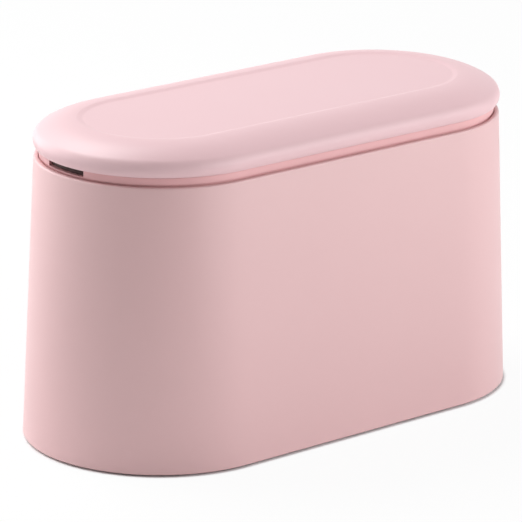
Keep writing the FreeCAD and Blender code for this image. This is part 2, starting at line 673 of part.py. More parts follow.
# Button with its frame, and the tray that guides it
button = new_body("latch_button")
button_face = new_sketch(button, "button_face_sketch", "XY_Plane", BUTTON_FOOT)
outline(button_face, [
    (f"-{BUTTON_BACK}", BUTTON_HALF),
    (f"-{BUTTON_SIDE}", BUTTON_HALF),
    (f"-{BUTTON_SIDE}", f"-{BUTTON_HALF}"),
    (f"-{BUTTON_BACK}", f"-{BUTTON_HALF}"),
], {1: (BUTTON_RADIUS, 1)})
pad(button, "button_face", button_face, f"{COLLAR_TOP} - {BUTTON_FOOT}")
button_frame = new_sketch(button, "button_frame_sketch", "XY_Plane", BUTTON_FOOT)
rectangle(button_frame, f"-{BUTTON_BACK}", f"-{BAR_INNER}", "-frame_half", "frame_half")
rectangle(button_frame, f"-{STOP_INNER}", f"-{BAR_OUTER}", "-(frame_half - frame_rail)", "(frame_half - frame_rail)")
pad(button, "button_frame", button_frame, "frame_height")
button_stop = new_sketch(button, "button_stop_sketch", "XY_Plane", BUTTON_FOOT)
rectangle(button_stop, f"-{STOP_OUTER}", f"-{STOP_INNER}", "-stop_half", "stop_half")
pad(button, "button_stop", button_stop, "frame_height")
bevel_edges(button, "button_bevels", [(BUTTON_RADIUS, BUTTON_FOOT), (BUTTON_RADIUS, COLLAR_TOP)], "button_bevel")

tray = new_body("latch_retainer")
tray_floor = new_sketch(tray, "tray_floor_sketch", "XY_Plane", SHELF_TOP)
rectangle(tray_floor, f"-{TRAY_START}", f"-{TRAY_BACK}", f"-{TRAY_HALF}", TRAY_HALF)
pad(tray, "tray_floor_plate", tray_floor, "tray_floor")
tray_tabs = new_sketch(tray, "tray_tabs_sketch", "XY_Plane", SHELF_TOP)
for place in TAB_PLACES:
    circle(tray_tabs, place, "ear_tab_radius")
pad(tray, "tray_tabs", tray_tabs, "tray_floor")
tray_walls = new_sketch(tray, "tray_walls_sketch", "XY_Plane", SHELF_TOP)
outline(tray_walls, [
    (f"-{TRAY_START}", TRAY_HALF),
    (f"-{TRAY_START}", TRAY_INNER),
    (f"-{TRAY_END}", TRAY_INNER),
    (f"-{TRAY_END}", f"-{TRAY_INNER}"),
    (f"-{TRAY_START}", f"-{TRAY_INNER}"),
    (f"-{TRAY_START}", f"-{TRAY_HALF}"),
    (f"-{TRAY_BACK}", f"-{TRAY_HALF}"),
    (f"-{TRAY_BACK}", TRAY_HALF),
])
pad(tray, "tray_walls", tray_walls, "tray_height")
guides = new_sketch(tray, "guides_sketch", "XY_Plane", TRAY_FLOOR_TOP)
GUIDE_INNER = "(frame_half - frame_rail / 2 - guide_wall / 2)"
for sign in (-1, 1):
    rectangle(guides, f"-{TRAY_START}", f"-{TRAY_END}", f"{sign} * {GUIDE_INNER}",
              f"{sign} * ({GUIDE_INNER} + guide_wall)")
pad(tray, "guides", guides, f"{BUTTON_FOOT} - fit_gap - {TRAY_FLOOR_TOP}")
peg = new_sketch(tray, "peg_sketch", "YZ_Plane", f"-{TRAY_END}")
circle(peg, ("0", FRAME_MIDDLE), "peg_radius")
pad(tray, "peg", peg, "peg_length", reverse=True)
tray_holes = new_sketch(tray, "tray_holes_sketch", "XY_Plane", TRAY_FLOOR_TOP)
for place in TAB_PLACES:
    circle(tray_holes, place, "(latch_screw_radius + screw_gap)")
pocket(tray, "tray_holes", tray_holes, "tray_floor + overrun")
screws("latch_screws", TAB_PLACES, "latch_screw_radius", "latch_screw_length", "latch_head_radius",
       "latch_head_height", TRAY_FLOOR_TOP, head_up=True)

button_wire = value("button_wire")
button_reach = value("button_coil_radius")
button_low = -value(BAR_INNER) + button_wire / 2 + value("spring_seat")
button_length = value("spring_room") - button_wire - 2 * value("spring_seat")
button_sweep = 2 * math.pi * BUTTON_TURNS
button_rate = math.atan2(button_length, button_sweep * button_reach)


def button_place(share):
    """A place along the button spring."""
    angle = share * button_sweep
    up = value(FRAME_MIDDLE) + button_reach * math.sin(angle)
    return FreeCAD.Vector(button_low + share * button_length, button_reach * math.cos(angle), up)


def button_way(share):
    """The direction of the wire there."""
    angle = share * button_sweep
    flat = math.cos(button_rate)
    return FreeCAD.Vector(math.sin(button_rate), -math.sin(angle) * flat, math.cos(angle) * flat)


wound("button_spring", button_place, button_way, QUARTERS_PER_TURN * BUTTON_TURNS, button_wire, (0, 0))

# Lid cover: a tight arc round the edge and a wide one over the shoulder, with a plain cavity that the liner closes
cover = new_body("lid_cover")
ACROSS_SHARE = f"(round_width - edge_radius) / ({CROWN_RADIUS} - edge_radius)"
UP_SHARE = f"({CROWN_RADIUS} - round_height) / ({CROWN_RADIUS} - edge_radius)"
SHOULDER_RADIUS = f"({LID_RADIUS} - edge_radius + edge_radius * {ACROSS_SHARE})"
SHOULDER_HEIGHT = f"({LID_WIDEST} + edge_radius * {UP_SHARE})"
LID_EDGE = f"({LID_RADIUS} - edge_radius + sqrt(edge_radius^2 - (lid_side - lid_foot_bevel)^2))"
swept(cover, "cover_skin", [
    (f"{LID_EDGE} - lid_foot_bevel", LID_FOOT),
    (LID_EDGE, f"{LID_FOOT} + lid_foot_bevel"),
    (SHOULDER_RADIUS, SHOULDER_HEIGHT),
    (CROWN_INNER, LID_TOP),
    (PANEL_RADIUS, PANEL_TOP),
    (PANEL_RADIUS, PANEL_FOOT),
    (f"{LID_BORE} - cavity_corner", PANEL_FOOT),
    (LID_BORE, LID_WIDEST),
    (LID_BORE, LID_FOOT),
], {1: ("edge_radius", 1), 2: (CROWN_RADIUS, 1)})
flat_stadium(cover, "cover_panel", PANEL_RADIUS, PANEL_FOOT, "lid_wall")
BOSS_PLACES = corners_of("(half_straight + boss_reach_x)", "boss_reach_y")
bosses = new_sketch(cover, "bosses_sketch", "XY_Plane", LINER_TOP)
for place in BOSS_PLACES:
    circle(bosses, place, "boss_radius")
pad(cover, "bosses", bosses, f"{PANEL_FOOT} - {LINER_TOP}")
boss_holes = new_sketch(cover, "boss_holes_sketch", "XY_Plane", LINER_TOP)
for place in BOSS_PLACES:
    circle(boss_holes, place, "(screw_radius + screw_gap)")
pocket(cover, "boss_holes", boss_holes, "screw_length - liner_thickness + fit_gap", reverse=True)

# Lid liner: closes the lid from below, with the hinge knuckles and the hook
liner = new_body("lid_liner")
flat_stadium(liner, "liner_plate", LINER_RADIUS, LINER_FOOT, "liner_thickness")
lip = new_sketch(liner, "lip_sketch", "XY_Plane", LINER_FOOT)
stadium(lip, LIP_RADIUS)
stadium(lip, f"({LIP_RADIUS} - lip_wall)")
pad(liner, "lip", lip, "lip_depth", reverse=True)
lip_gaps = new_sketch(liner, "lip_gaps_sketch", "XY_Plane", LINER_FOOT)
rectangle(lip_gaps, "-(half_straight + rim_radius)", "(half_straight + rim_radius)",
          f"-({TRAY_HALF} + lip_gap)", f"({TRAY_HALF} + lip_gap)")
pocket(liner, "lip_gaps", lip_gaps, "lip_depth + overrun")
NOTCH_X = f"({EAR_ROOT} + hinge_clear)"
notch = new_sketch(liner, "notch_sketch", "XY_Plane", LINER_TOP)
rectangle(notch, NOTCH_X, f"(half_straight + {LID_RADIUS})", f"-({EAR_OUTER} + 2 * fit_gap)",
          f"({EAR_OUTER} + 2 * fit_gap)")
pocket(liner, "notch", notch, "liner_thickness + overrun")
KNUCKLE_MIDDLE = "knuckle_inner + knuckle_width / 2"
finger = new_sketch(liner, "finger_sketch", "XZ_Plane", KNUCKLE_MIDDLE)
rectangle(finger, f"{NOTCH_X} - leaf_root", HINGE_X, LINER_FOOT, LINER_TOP)
finger_arm = pad(liner, "finger", finger, "knuckle_width", symmetric=True)
finger_eye = new_sketch(liner, "finger_eye_sketch", "XZ_Plane", KNUCKLE_MIDDLE)
circle(finger_eye, (HINGE_X, HINGE_Z), "knuckle_radius")
finger_head = pad(liner, "finger_eye", finger_eye, "knuckle_width", symmetric=True)
mirror(liner, "other_finger", [finger_arm, finger_head], "XZ_Plane")
finger_bore = new_sketch(liner, "finger_bore_sketch", "XZ_Plane", "0")
circle(finger_bore, (HINGE_X, HINGE_Z), "(pin_radius + pin_play)")
pocket(liner, "finger_bore", finger_bore, f"2 * {EAR_INNER}", symmetric=True)
hook = new_sketch(liner, "hook_sketch", "XZ_Plane", "0")
BARB_TOP = f"({BUTTON_FOOT} - fit_gap)"
outline(hook, [
    (f"-{HOOK_OUTER}", LINER_FOOT),
    (f"-{HOOK_OUTER}", f"{BARB_TOP} - barb_height"),
    (f"-{HOOK_INNER}", f"{BARB_TOP} - barb_height"),
    (f"-({HOOK_INNER} - hook_reach)", f"{BARB_TOP} - barb_face"),
    (f"-({HOOK_INNER} - hook_reach)", BARB_TOP),
    (f"-{HOOK_INNER}", BARB_TOP),
    (f"-{HOOK_INNER}", LINER_FOOT),
])
pad(liner, "hook", hook, "2 * hook_half", symmetric=True)
liner_holes = new_sketch(liner, "liner_holes_sketch", "XY_Plane", LINER_TOP)
for place in BOSS_PLACES:
    circle(liner_holes, place, "(screw_radius + screw_gap)")
pocket(liner, "liner_holes", liner_holes, "liner_thickness + overrun")
screws("liner_screws", BOSS_PLACES, "screw_radius", "screw_length", "screw_head_radius",
       "screw_head_height", LINER_FOOT, head_up=False)

# Test every object, then write one file for each piece
document.recompute()
for item in document.Objects:
    if {"Invalid", "Error"} & set(item.State):
        raise RuntimeError(f"{item.Name} failed: {item.State}")
os.makedirs("parts", exist_ok=True)
for piece in pieces:
    if piece.Shape.isNull() or not piece.Shape.isValid():
        raise RuntimeError(f"{piece.Label} has no valid shape")
    solids = len(piece.Shape.Solids)
    print(f"{piece.Label}: {solids} solid(s), {piece.Shape.Volume / 1000:.2f} cm3")
    piece.Shape.exportStep(os.path.join("parts", f"{piece.Label}.step"))
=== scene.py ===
import math

import bmesh
import bpy
from bpy.props import FloatProperty, FloatVectorProperty, IntProperty, PointerProperty
from bpy.types import Operator, Panel, PropertyGroup
from mathutils import Matrix, Vector


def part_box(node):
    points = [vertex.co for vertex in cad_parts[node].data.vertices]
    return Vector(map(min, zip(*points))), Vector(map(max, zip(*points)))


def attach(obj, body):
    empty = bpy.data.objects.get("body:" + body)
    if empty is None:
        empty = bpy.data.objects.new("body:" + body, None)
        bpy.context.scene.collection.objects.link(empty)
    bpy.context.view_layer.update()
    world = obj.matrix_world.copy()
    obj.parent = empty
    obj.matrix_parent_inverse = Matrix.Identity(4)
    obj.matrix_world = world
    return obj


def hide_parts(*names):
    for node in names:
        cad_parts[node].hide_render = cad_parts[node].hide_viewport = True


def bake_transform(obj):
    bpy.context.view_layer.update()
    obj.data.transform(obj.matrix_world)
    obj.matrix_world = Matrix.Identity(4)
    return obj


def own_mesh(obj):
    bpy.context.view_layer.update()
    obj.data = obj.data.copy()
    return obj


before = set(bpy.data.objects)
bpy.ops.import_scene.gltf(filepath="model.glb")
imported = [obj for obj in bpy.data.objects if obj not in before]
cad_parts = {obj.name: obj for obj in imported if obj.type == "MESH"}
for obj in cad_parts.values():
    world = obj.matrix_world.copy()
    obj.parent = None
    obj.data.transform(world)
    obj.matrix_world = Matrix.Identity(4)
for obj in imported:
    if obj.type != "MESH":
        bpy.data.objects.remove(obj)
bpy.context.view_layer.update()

bl_info = {
    "name": "Desktop bin",
    "version": (1, 0, 0),
    "blender": (4, 5, 0),
    "location": "View3D > Sidebar > Desktop bin",
    "description": "Dresses the packed desktop bin in plastic, rubber and steel, and sets up its studio",
    "category": "Object",
}

# Places that the frame gives, in metres
SHELL_LOW, SHELL_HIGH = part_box("outer_shell")
LID_LOW, LID_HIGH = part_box("lid_cover")
PIN_LOW, PIN_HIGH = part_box("hinge_pin")
HINGE_COIL_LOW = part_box("hinge_spring")[0]
BUTTON_COIL_LOW, BUTTON_COIL_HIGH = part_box("button_spring")
PADS_LOW, PADS_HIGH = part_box("foot_pads")
BUTTON_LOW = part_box("latch_button")[0]
LINER_SCREWS_LOW, LINER_SCREWS_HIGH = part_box("liner_screws")
LATCH_SCREWS_LOW, LATCH_SCREWS_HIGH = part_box("latch_screws")


def length(name, description, default):
    """A size in metres that a user may change."""
    return FloatProperty(name=name, description=description, default=default, unit="LENGTH", precision=5)


def watts(name, description, default):
    """The power of a lamp."""
    return FloatProperty(name=name, description=description, default=default, unit="POWER", min=0)


def colour(name, description, default):
    """A colour, written as linear light."""
    return FloatVectorProperty(
        name=name, description=description, default=default, subtype="COLOR", min=0, max=1)


def degrees(name, description, default):
    """An angle, given in degrees and kept in radians."""
    return FloatProperty(name=name, description=description, default=math.radians(default), subtype="ANGLE")


def fraction(name, description, default):
    """A share between nothing and all."""
    return FloatProperty(name=name, description=description, default=default, min=0, max=1)


def whole(name, description, default, least):
    """A whole number with a least value."""
    return IntProperty(name=name, description=description, default=default, min=least)


class BinSizes(PropertyGroup):
    """Sizes of the dressed bin."""
    half_straight: length("Half straight", "Half of the straight run", SHELL_HIGH.x - SHELL_HIGH.y)
    base_radius: length("Base radius", "Round end of the tub at its foot", SHELL_HIGH.y)
    rim_radius: length("Rim radius", "Round end of the tub at its rim", 0.054)
    rim_height: length("Rim height", "Rim above the table", SHELL_HIGH.z)
    foot_height: length("Foot height", "Foot edge of the tub above the table", SHELL_LOW.z)
    wall: length("Wall", "Wall of the tub", 0.002)
    rim_round: length("Rim round", "Round on the outer rim edge", 0.0009)
    rim_inner_round: length("Rim inner round", "Round on the inner rim edge", 0.0003)
    foot_round: length("Foot round", "Round on the foot edge", 0.0005)
    ledge_drop: length("Ledge drop", "Collar seat below the rim", 0.003)
    ledge_reach: length("Ledge reach", "Collar seat inwards from the wall", 0.0025)
    ledge_edge: length("Ledge edge", "Edge thickness of the collar seat", 0.0016)
    floor_seat: length("Floor seat", "Height of the snap bead at the foot", 0.0014)
    floor_room: length("Floor room", "Snap bead to the stop above the floor plate", 0.00235)
    floor_stop: length("Floor stop", "Stop above the floor plate, inwards", 0.002)
    stop_height: length("Stop height", "Height of that stop", 0.0024)
    snap_bead: length("Snap bead", "Snap bead inwards from the wall", 0.0005)
    lid_radius: length("Lid radius", "Round end of the lid at its widest", LID_HIGH.y)
    lid_foot: length("Lid foot", "Lid edge above the table", LID_LOW.z)
    lid_top: length("Lid top", "Highest ring of the lid", LID_HIGH.z)
    lid_side: length("Lid side", "Lid edge to the widest place", 0.0031)
    lid_wall: length("Lid wall", "Thickness of the lid top", 0.002)
    lid_bore_inset: length("Lid bore inset", "Lid cavity inwards from the widest place", 0.0032)
    lid_edge_round: length("Lid edge round", "Round on the lid edge", 0.0005)
    shoulder_width: length("Shoulder width", "Rounded lid shoulder, inwards", 0.0183)
    edge_radius: length("Edge radius", "Tight outer arc of the shoulder", 0.0052)
    recess_depth: length("Recess depth", "Recess in the lid top", 0.0006)
    recess_slope: length("Recess slope", "Soft slope into the recess", 0.0034)
    cavity_side: length("Cavity side", "Lid edge to the sloping corner of the lid cavity", 0.0042)
    cavity_corner: length("Cavity corner", "Sloping corner of the lid cavity", 0.007)
    neck_radius: length("Neck radius", "Packed collar in the groove under its band", 0.0506)
    neck_push: length("Neck push", "How much shallower that groove is shown", 0.0006)
    window_drop: length("Window drop", "Foot of the button and its window, set lower than packed", 0.0005)
    window_reach: length("Window reach", "Edges this near the long axis are set lower", 0.0120)
    head_depth: length("Head depth", "Button's face back to behind its head", 0.0040)
    foot_reach: length("Foot reach", "Edges this near the height of the button's foot are set lower", 0.0006)
    moulded_edge: length("Moulded edge", "Round on the edges of the hidden mouldings", 0.0002)
    end_steps: whole("End steps", "Steps round each end", 64, 8)
    side_steps: whole("Side steps", "Steps along each side", 24, 2)
    round_steps: whole("Round steps", "Steps over a rounded edge", 6, 2)
    turned_steps: whole("Turned steps", "Steps round small turned pieces", 40, 12)


class BinColours(PropertyGroup):
    """Colours of the bin's plastics, rubber and metal."""
    shell: colour("Shell", "Pale pink of the tub", (0.765, 0.503, 0.510))
    shell_deep: colour("Shell deep", "Its deeper streaks", (0.738, 0.480, 0.487))
    # Lid and its streaks: the tub's pink plastic set paler and cooler, with painted reflection of the white
    # room in it; the deeper streaks are the plastic's own
    lid: colour("Lid", "Pale pink of the lid", (0.803, 0.548, 0.576))
    lid_deep: colour("Lid deep", "Its deeper streaks", (0.778, 0.524, 0.552))
    # Collar and its streaks: the tub's pink plastic set darker and a deeper rose, with painted shade and
    # bounce light for its place under the lid; the deeper streaks are the plastic's own
    collar: colour("Collar", "Rose pink of the collar", (0.785, 0.445, 0.456))
    collar_deep: colour("Collar deep", "Its deeper streaks", (0.755, 0.420, 0.431))
    button: colour("Button", "Dark brown of the button", (0.045, 0.022, 0.022))
    button_worn: colour("Button worn", "Its paler rub marks", (0.080, 0.045, 0.043))
    rubber: colour("Rubber", "Grey of the foot pads", (0.340, 0.325, 0.320))
    rubber_dust: colour("Rubber dust", "Dust on the foot pads", (0.460, 0.445, 0.435))
    steel: colour("Steel", "Bright steel", (0.640, 0.640, 0.650))
    steel_dark: colour("Steel dark", "Darker drawing marks on steel", (0.430, 0.430, 0.445))
    floor: colour("Floor", "Studio floor", (0.900, 0.900, 0.900))


class BinStage(PropertyGroup):
    """Camera, lamps and floor of the studio."""
    azimuth: degrees("Azimuth", "Camera round the bin", -40.378)
    elevation: degrees("Elevation", "Camera above the table", 17.182)
    roll: degrees("Roll", "Tilt of the picture", 0.589)
    distance: length("Distance", "Camera to its aim", 1.774)
    aim: FloatVectorProperty(
        name="Aim", description="Point in the picture's middle", default=(-0.0050, 0, 0.0661), subtype="XYZ")
    lens: FloatProperty(name="Lens", description="Focal length in millimetres", default=278.7, min=1)
    high_back: watts("High back", "Key softbox over the bin", 12.9)
    left: watts("Left", "Softbox on the button side", 3.8)
    back_left: watts("Back left", "Softbox behind the button side", 7.0)
    front_left: watts("Front left", "Softbox before the button end", 2.0)
    right: watts("Right", "Softbox on the hinge side", 7.4)
    front_right: watts("Front right", "Softbox before the long side", 7.8)
    ambient: fraction("Ambient", "Even light of the room", 0.02)
    shadow_share: fraction("Shadow share", "Shade shown away from the bin", 0.06)
    contact_reach: length("Contact reach", "Distance within which the floor shows its full shade", 0.002)


# Nodes

class Wire:
    """A socket that takes part in sums: every operator adds a Math node to the socket's tree."""

    def __init__(self, tree, socket):
        self.tree = tree
        self.socket = socket

    def also(self, name):
        """Another output of the same node."""
        return Wire(self.tree, self.socket.node.outputs[name])

    def math(self, operation, *others):
        """A Math node of this socket and others."""
        values = dict(enumerate((self,) + others))
        return add_node(self.tree, "ShaderNodeMath", {"operation": operation}, values)

    def clamped(self):
        """The value held between 0 and 1."""
        return add_node(self.tree, "ShaderNodeClamp", {}, {"Value": self})

    def __add__(self, other):
        return self.math("ADD", other)

    __radd__ = __add__

    def __sub__(self, other):
        return self.math("SUBTRACT", other)

    def __rsub__(self, other):
        return (self * -1) + other

    def __mul__(self, other):
        return self.math("MULTIPLY", other)

    __rmul__ = __mul__

    def __truediv__(self, other):
        return self.math("DIVIDE", other)


def add_node(tree, kind, settings=None, values=None, output=0):
    """A node with its settings made first, then the values or links of its sockets."""
    node = tree.nodes.new(kind)
    for name, setting in (settings or {}).items():
        setattr(node, name, setting)
    for name, entry in (values or {}).items():
        if isinstance(entry, Wire):
            tree.links.new(entry.socket, node.inputs[name])
        else:
            node.inputs[name].default_value = entry
    return Wire(tree, node.outputs[output]) if node.outputs else node


# Materials

# Sockets of a Mix node that mixes colours
MIX_FACTOR, MIX_FIRST, MIX_SECOND, MIX_RESULT = 0, 6, 7, 2


def opaque(shade):
    """A colour with full alpha, as sockets want it."""
    return (*shade, 1)


def mixed(tree, share, first, second):
    """Two colours mixed by a share."""
    values = {MIX_FACTOR: share, MIX_FIRST: opaque(first), MIX_SECOND: opaque(second)}
    return add_node(tree, "ShaderNodeMix", {"data_type": "RGBA"}, values, MIX_RESULT)


def noise(tree, place, pattern, stretch=None):
    """Soft noise of a scale and a detail on object coordinates, stretched along axes."""
    scale, detail = pattern
    spread = add_node(tree, "ShaderNodeMapping", {}, {"Vector": place, "Scale": stretch or EVEN_SHARES})
    return add_node(tree, "ShaderNodeTexNoise", {}, {"Vector": spread, "Scale": scale, "Detail": detail})


def finish_material(name, look, constants):
    """A material: look gives colour, roughness and relief, and constants go straight on the shader."""
    material = bpy.data.materials.new(name)
    material.use_nodes = True
    tree = material.node_tree
    tree.nodes.clear()
    place = add_node(tree, "ShaderNodeTexCoord", {}, {}, "Object")
    shade, roughness, relief, depth = look(tree, place)
    bump = add_node(tree, "ShaderNodeBump", {}, {"Height": relief, "Distance": depth})
    values = {"Base Color": shade, "Roughness": roughness, "Normal": bump, **constants}
    shader = add_node(tree, "ShaderNodeBsdfPrincipled", {}, values)
    add_node(tree, "ShaderNodeOutputMaterial", {}, {"Surface": shader})
    return material


# Noises, each with its repeats for each metre and its octaves of finer detail
FLOW_NOISE = (9, 3)
CLOUD_NOISE = (30, 4)
PEEL_NOISE = (900, 1)
GRAIN_NOISE = (2600, 2)
RUB_NOISE = (160, 5)
GRIP_NOISE = (2200, 2)
DUST_NOISE = (60, 5)
PORE_NOISE = (700, 4)
DRAWN_NOISE = (900, 3)
SPOT_NOISE = (240, 4)

# Depths of the fine relief, in metres
GRAIN_DEPTH = 0.00001
GRIP_DEPTH = 0.00002
PORE_DEPTH = 0.00003
DRAWN_DEPTH = 0.000006

# How far the noise moves gloss and colour, and where marks begin
MIDDLE_SHARE = 0.5
FLOW_STRETCH_SHARES = (1, 1, 0.35)
RUB_STRETCH_SHARES = (1, 0.15, 1)
PIN_STRETCH_SHARES = (8, 0.5, 8)
EVEN_SHARES = (1, 1, 1)
CLOUD_GLOSS_SHARE = 0.08
GRAIN_GLOSS_SHARE = 0.05
PEEL_SHARE = 0.6
RUB_START_SHARE = 0.52
RUB_SHARE = 0.5
RUB_GLOSS_SHARE = 0.12
RUB_CONTRAST = 6
DUST_START_SHARE = 0.45
DUST_CONTRAST = 3
PORE_GLOSS_SHARE = 0.12
SPOT_GLOSS_SHARE = 0.14

# Roughness and refraction of the materials
SHELL_ROUGHNESS = 0.42
LID_ROUGHNESS = 0.44
COLLAR_ROUGHNESS = 0.45
INNER_ROUGHNESS = 0.5
BUTTON_ROUGHNESS = 0.5
RUBBER_ROUGHNESS = 0.78
SCREW_ROUGHNESS = 0.34
PIN_ROUGHNESS = 0.26
SPRING_ROUGHNESS = 0.3
PLASTIC_REFRACTION = 1.49
RUBBER_REFRACTION = 1.52
BUTTON_SHEEN = 0.15


def moulded_plastic(name, shade, deep, roughness):
    """Satin moulded plastic: faint flow streaks, a fine spark grain and slightly uneven gloss."""
    def look(tree, place):
        flow = noise(tree, place, FLOW_NOISE, FLOW_STRETCH_SHARES)
        grain = noise(tree, place, GRAIN_NOISE)
        cloud = noise(tree, place, CLOUD_NOISE)
        uneven = CLOUD_GLOSS_SHARE * (cloud - MIDDLE_SHARE) + GRAIN_GLOSS_SHARE * (grain - MIDDLE_SHARE)
        relief = grain + PEEL_SHARE * noise(tree, place, PEEL_NOISE)
        return mixed(tree, flow, deep, shade), roughness + uneven, relief, GRAIN_DEPTH
    return finish_material(name, look, {"IOR": PLASTIC_REFRACTION})


def rubbed_plastic(name, shade, worn):
    """Dark button plastic with paler rub marks along it and a grippy grain."""
    def look(tree, place):
        rubs = noise(tree, place, RUB_NOISE, RUB_STRETCH_SHARES)
        marks = ((rubs - RUB_START_SHARE) * RUB_CONTRAST).clamped()
        grain = noise(tree, place, GRIP_NOISE)
        gloss = BUTTON_ROUGHNESS - RUB_GLOSS_SHARE * marks
        return mixed(tree, marks * RUB_SHARE, shade, worn), gloss, grain, GRIP_DEPTH
    return finish_material(name, look, {"IOR": PLASTIC_REFRACTION, "Specular IOR Level": BUTTON_SHEEN})


def soft_rubber(name, shade, dust):
    """Matt rubber with a little dust in its pores."""
    def look(tree, place):
        pores = noise(tree, place, PORE_NOISE)
        settled = ((noise(tree, place, DUST_NOISE) - DUST_START_SHARE) * DUST_CONTRAST).clamped()
        gloss = RUBBER_ROUGHNESS + PORE_GLOSS_SHARE * (pores - MIDDLE_SHARE)
        return mixed(tree, settled, shade, dust), gloss, pores, PORE_DEPTH
    return finish_material(name, look, {"IOR": RUBBER_REFRACTION})


def drawn_steel(name, shade, dark, along, roughness):
    """Steel with fine marks along the way it was drawn or rolled."""
    def look(tree, place):
        lines = noise(tree, place, DRAWN_NOISE, along)
        spots = noise(tree, place, SPOT_NOISE)
        gloss = roughness + SPOT_GLOSS_SHARE * (spots - MIDDLE_SHARE)
        return mixed(tree, lines, dark, shade), gloss, lines, DRAWN_DEPTH
    return finish_material(name, look, {"Metallic": 1})


# Meshes

MERGE_DISTANCE = 0.000002
FLAT_ANGLE = math.radians(0.25)
SHARP_ANGLE = math.radians(32)
EDGE_SEGMENTS = 2
# Steps over the lid's shoulder for each step over a rounded edge
SHOULDER_FINENESS = 4


def new_tree(name, inputs):
    """An empty geometry tree with named inputs, and its input wires by name."""
    tree = bpy.data.node_groups.new(name, "GeometryNodeTree")
    tree.interface.new_socket("Geometry", in_out="OUTPUT", socket_type="NodeSocketGeometry")
    for label, kind in inputs.items():
        tree.interface.new_socket(label, in_out="INPUT", socket_type=f"NodeSocket{kind}")
    start = add_node(tree, "NodeGroupInput")
    return tree, {label: start.also(label) for label in inputs}


def close_tree(tree, shape, material):
    """Realize, paint and hand out what a tree has made."""
    real = add_node(tree, "GeometryNodeRealizeInstances", {}, {"Geometry": shape})
    painted = add_node(tree, "GeometryNodeSetMaterial", {}, {"Geometry": real, "Material": material})
    add_node(tree, "NodeGroupOutput", {}, {"Geometry": painted})
    return tree


def joined_vector(tree, across, along, up):
    """Three values as one vector."""
    return add_node(tree, "ShaderNodeCombineXYZ", {}, {"X": across, "Y": along, "Z": up})


def drawn_out(tree, profile, steps):
    """A profile drawn along a straight line of equal steps, and the step that each point stands on."""
    far_end = joined_vector(tree, 0, 0, steps)
    line = add_node(tree, "GeometryNodeCurvePrimitiveLine", {}, {"End": far_end})
    values = {"Curve": line, "Count": steps + 1}
    stations = add_node(tree, "GeometryNodeResampleCurve", {"mode": "COUNT"}, values)
    edge = add_node(tree, "GeometryNodeMeshToCurve", {}, {"Mesh": profile})
    skin = add_node(tree, "GeometryNodeCurveToMesh", {}, {"Curve": stations, "Profile Curve": edge})
    position = add_node(tree, "GeometryNodeInputPosition")
    station = add_node(tree, "ShaderNodeSeparateXYZ", {}, {"Vector": position}, "Z")
    return skin, station


def profile_value(tree, label):
    """A number that the profile carries at each of its points."""
    return add_node(tree, "GeometryNodeInputNamedAttribute", {"data_type": "FLOAT"}, {"Name": label})


def wrapped(tree, skin, centre, angle):
    """The drawn-out skin bent round: reach outwards from a centre on the long axis, level upwards."""
    reach = profile_value(tree, "reach")
    across = centre + reach * angle.math("COSINE")
    place = joined_vector(tree, across, reach * angle.math("SINE"), profile_value(tree, "level"))
    bent = add_node(tree, "GeometryNodeSetPosition", {}, {"Geometry": skin, "Position": place})
    return add_node(tree, "GeometryNodeMergeByDistance", {}, {"Geometry": bent, "Distance": MERGE_DISTANCE})


def round_ended_tree():
    """A profile carried round the bin's long round-ended path."""
    tree, given = new_tree("round_ended_sweep", {
        "Geometry": "Geometry", "Half Straight": "Float", "End Steps": "Int", "Side Steps": "Int",
        "Material": "Material",
    })
    ends, sides, half = given["End Steps"], given["Side Steps"], given["Half Straight"]
    skin, station = drawn_out(tree, given["Geometry"], 2 * (ends + sides))
    near_end = (station / ends).clamped()
    first_side = ((station - ends) / sides).clamped()
    far_end = ((station - ends - sides) / ends).clamped()
    second_side = ((station - 2 * ends - sides) / sides).clamped()
    angle = math.pi * (near_end + far_end - 0.5)
    centre = half * (1 - 2 * first_side + 2 * second_side)
    return close_tree(tree, wrapped(tree, skin, centre, angle), given["Material"])


def turned_tree():
    """A profile turned about an upright axis, cut by a tool and set on every place."""
    tree, given = new_tree("turned_on_places", {
        "Geometry": "Geometry", "Profile": "Object", "Cutter": "Object", "Steps": "Int",
        "Material": "Material",
    })
    profile = add_node(tree, "GeometryNodeObjectInfo", {}, {"Object": given["Profile"]}, "Geometry")
    cutter = add_node(tree, "GeometryNodeObjectInfo", {}, {"Object": given["Cutter"]}, "Geometry")
    skin, station = drawn_out(tree, profile, given["Steps"])
    turned = wrapped(tree, skin, station * 0, 2 * math.pi * (station / given["Steps"]))
    values = {"Mesh 1": turned, "Mesh 2": cutter}
    cut = add_node(tree, "GeometryNodeMeshBoolean", {"operation": "DIFFERENCE"}, values)
    values = {"Points": given["Geometry"], "Instance": cut}
    placed = add_node(tree, "GeometryNodeInstanceOnPoints", {}, values)
    return close_tree(tree, placed, given["Material"])


def wire_tree():
    """Round wire along a path."""
    tree, given = new_tree("wire_along_path", {
        "Geometry": "Geometry", "Radius": "Float", "Sides": "Int", "Material": "Material",
    })
    path = add_node(tree, "GeometryNodeMeshToCurve", {}, {"Mesh": given["Geometry"]})
    values = {"Radius": given["Radius"], "Resolution": given["Sides"]}
    section = add_node(tree, "GeometryNodeCurvePrimitiveCircle", {}, values)
    values = {"Curve": path, "Profile Curve": section, "Fill Caps": True}
    return close_tree(tree, add_node(tree, "GeometryNodeCurveToMesh", {}, values), given["Material"])


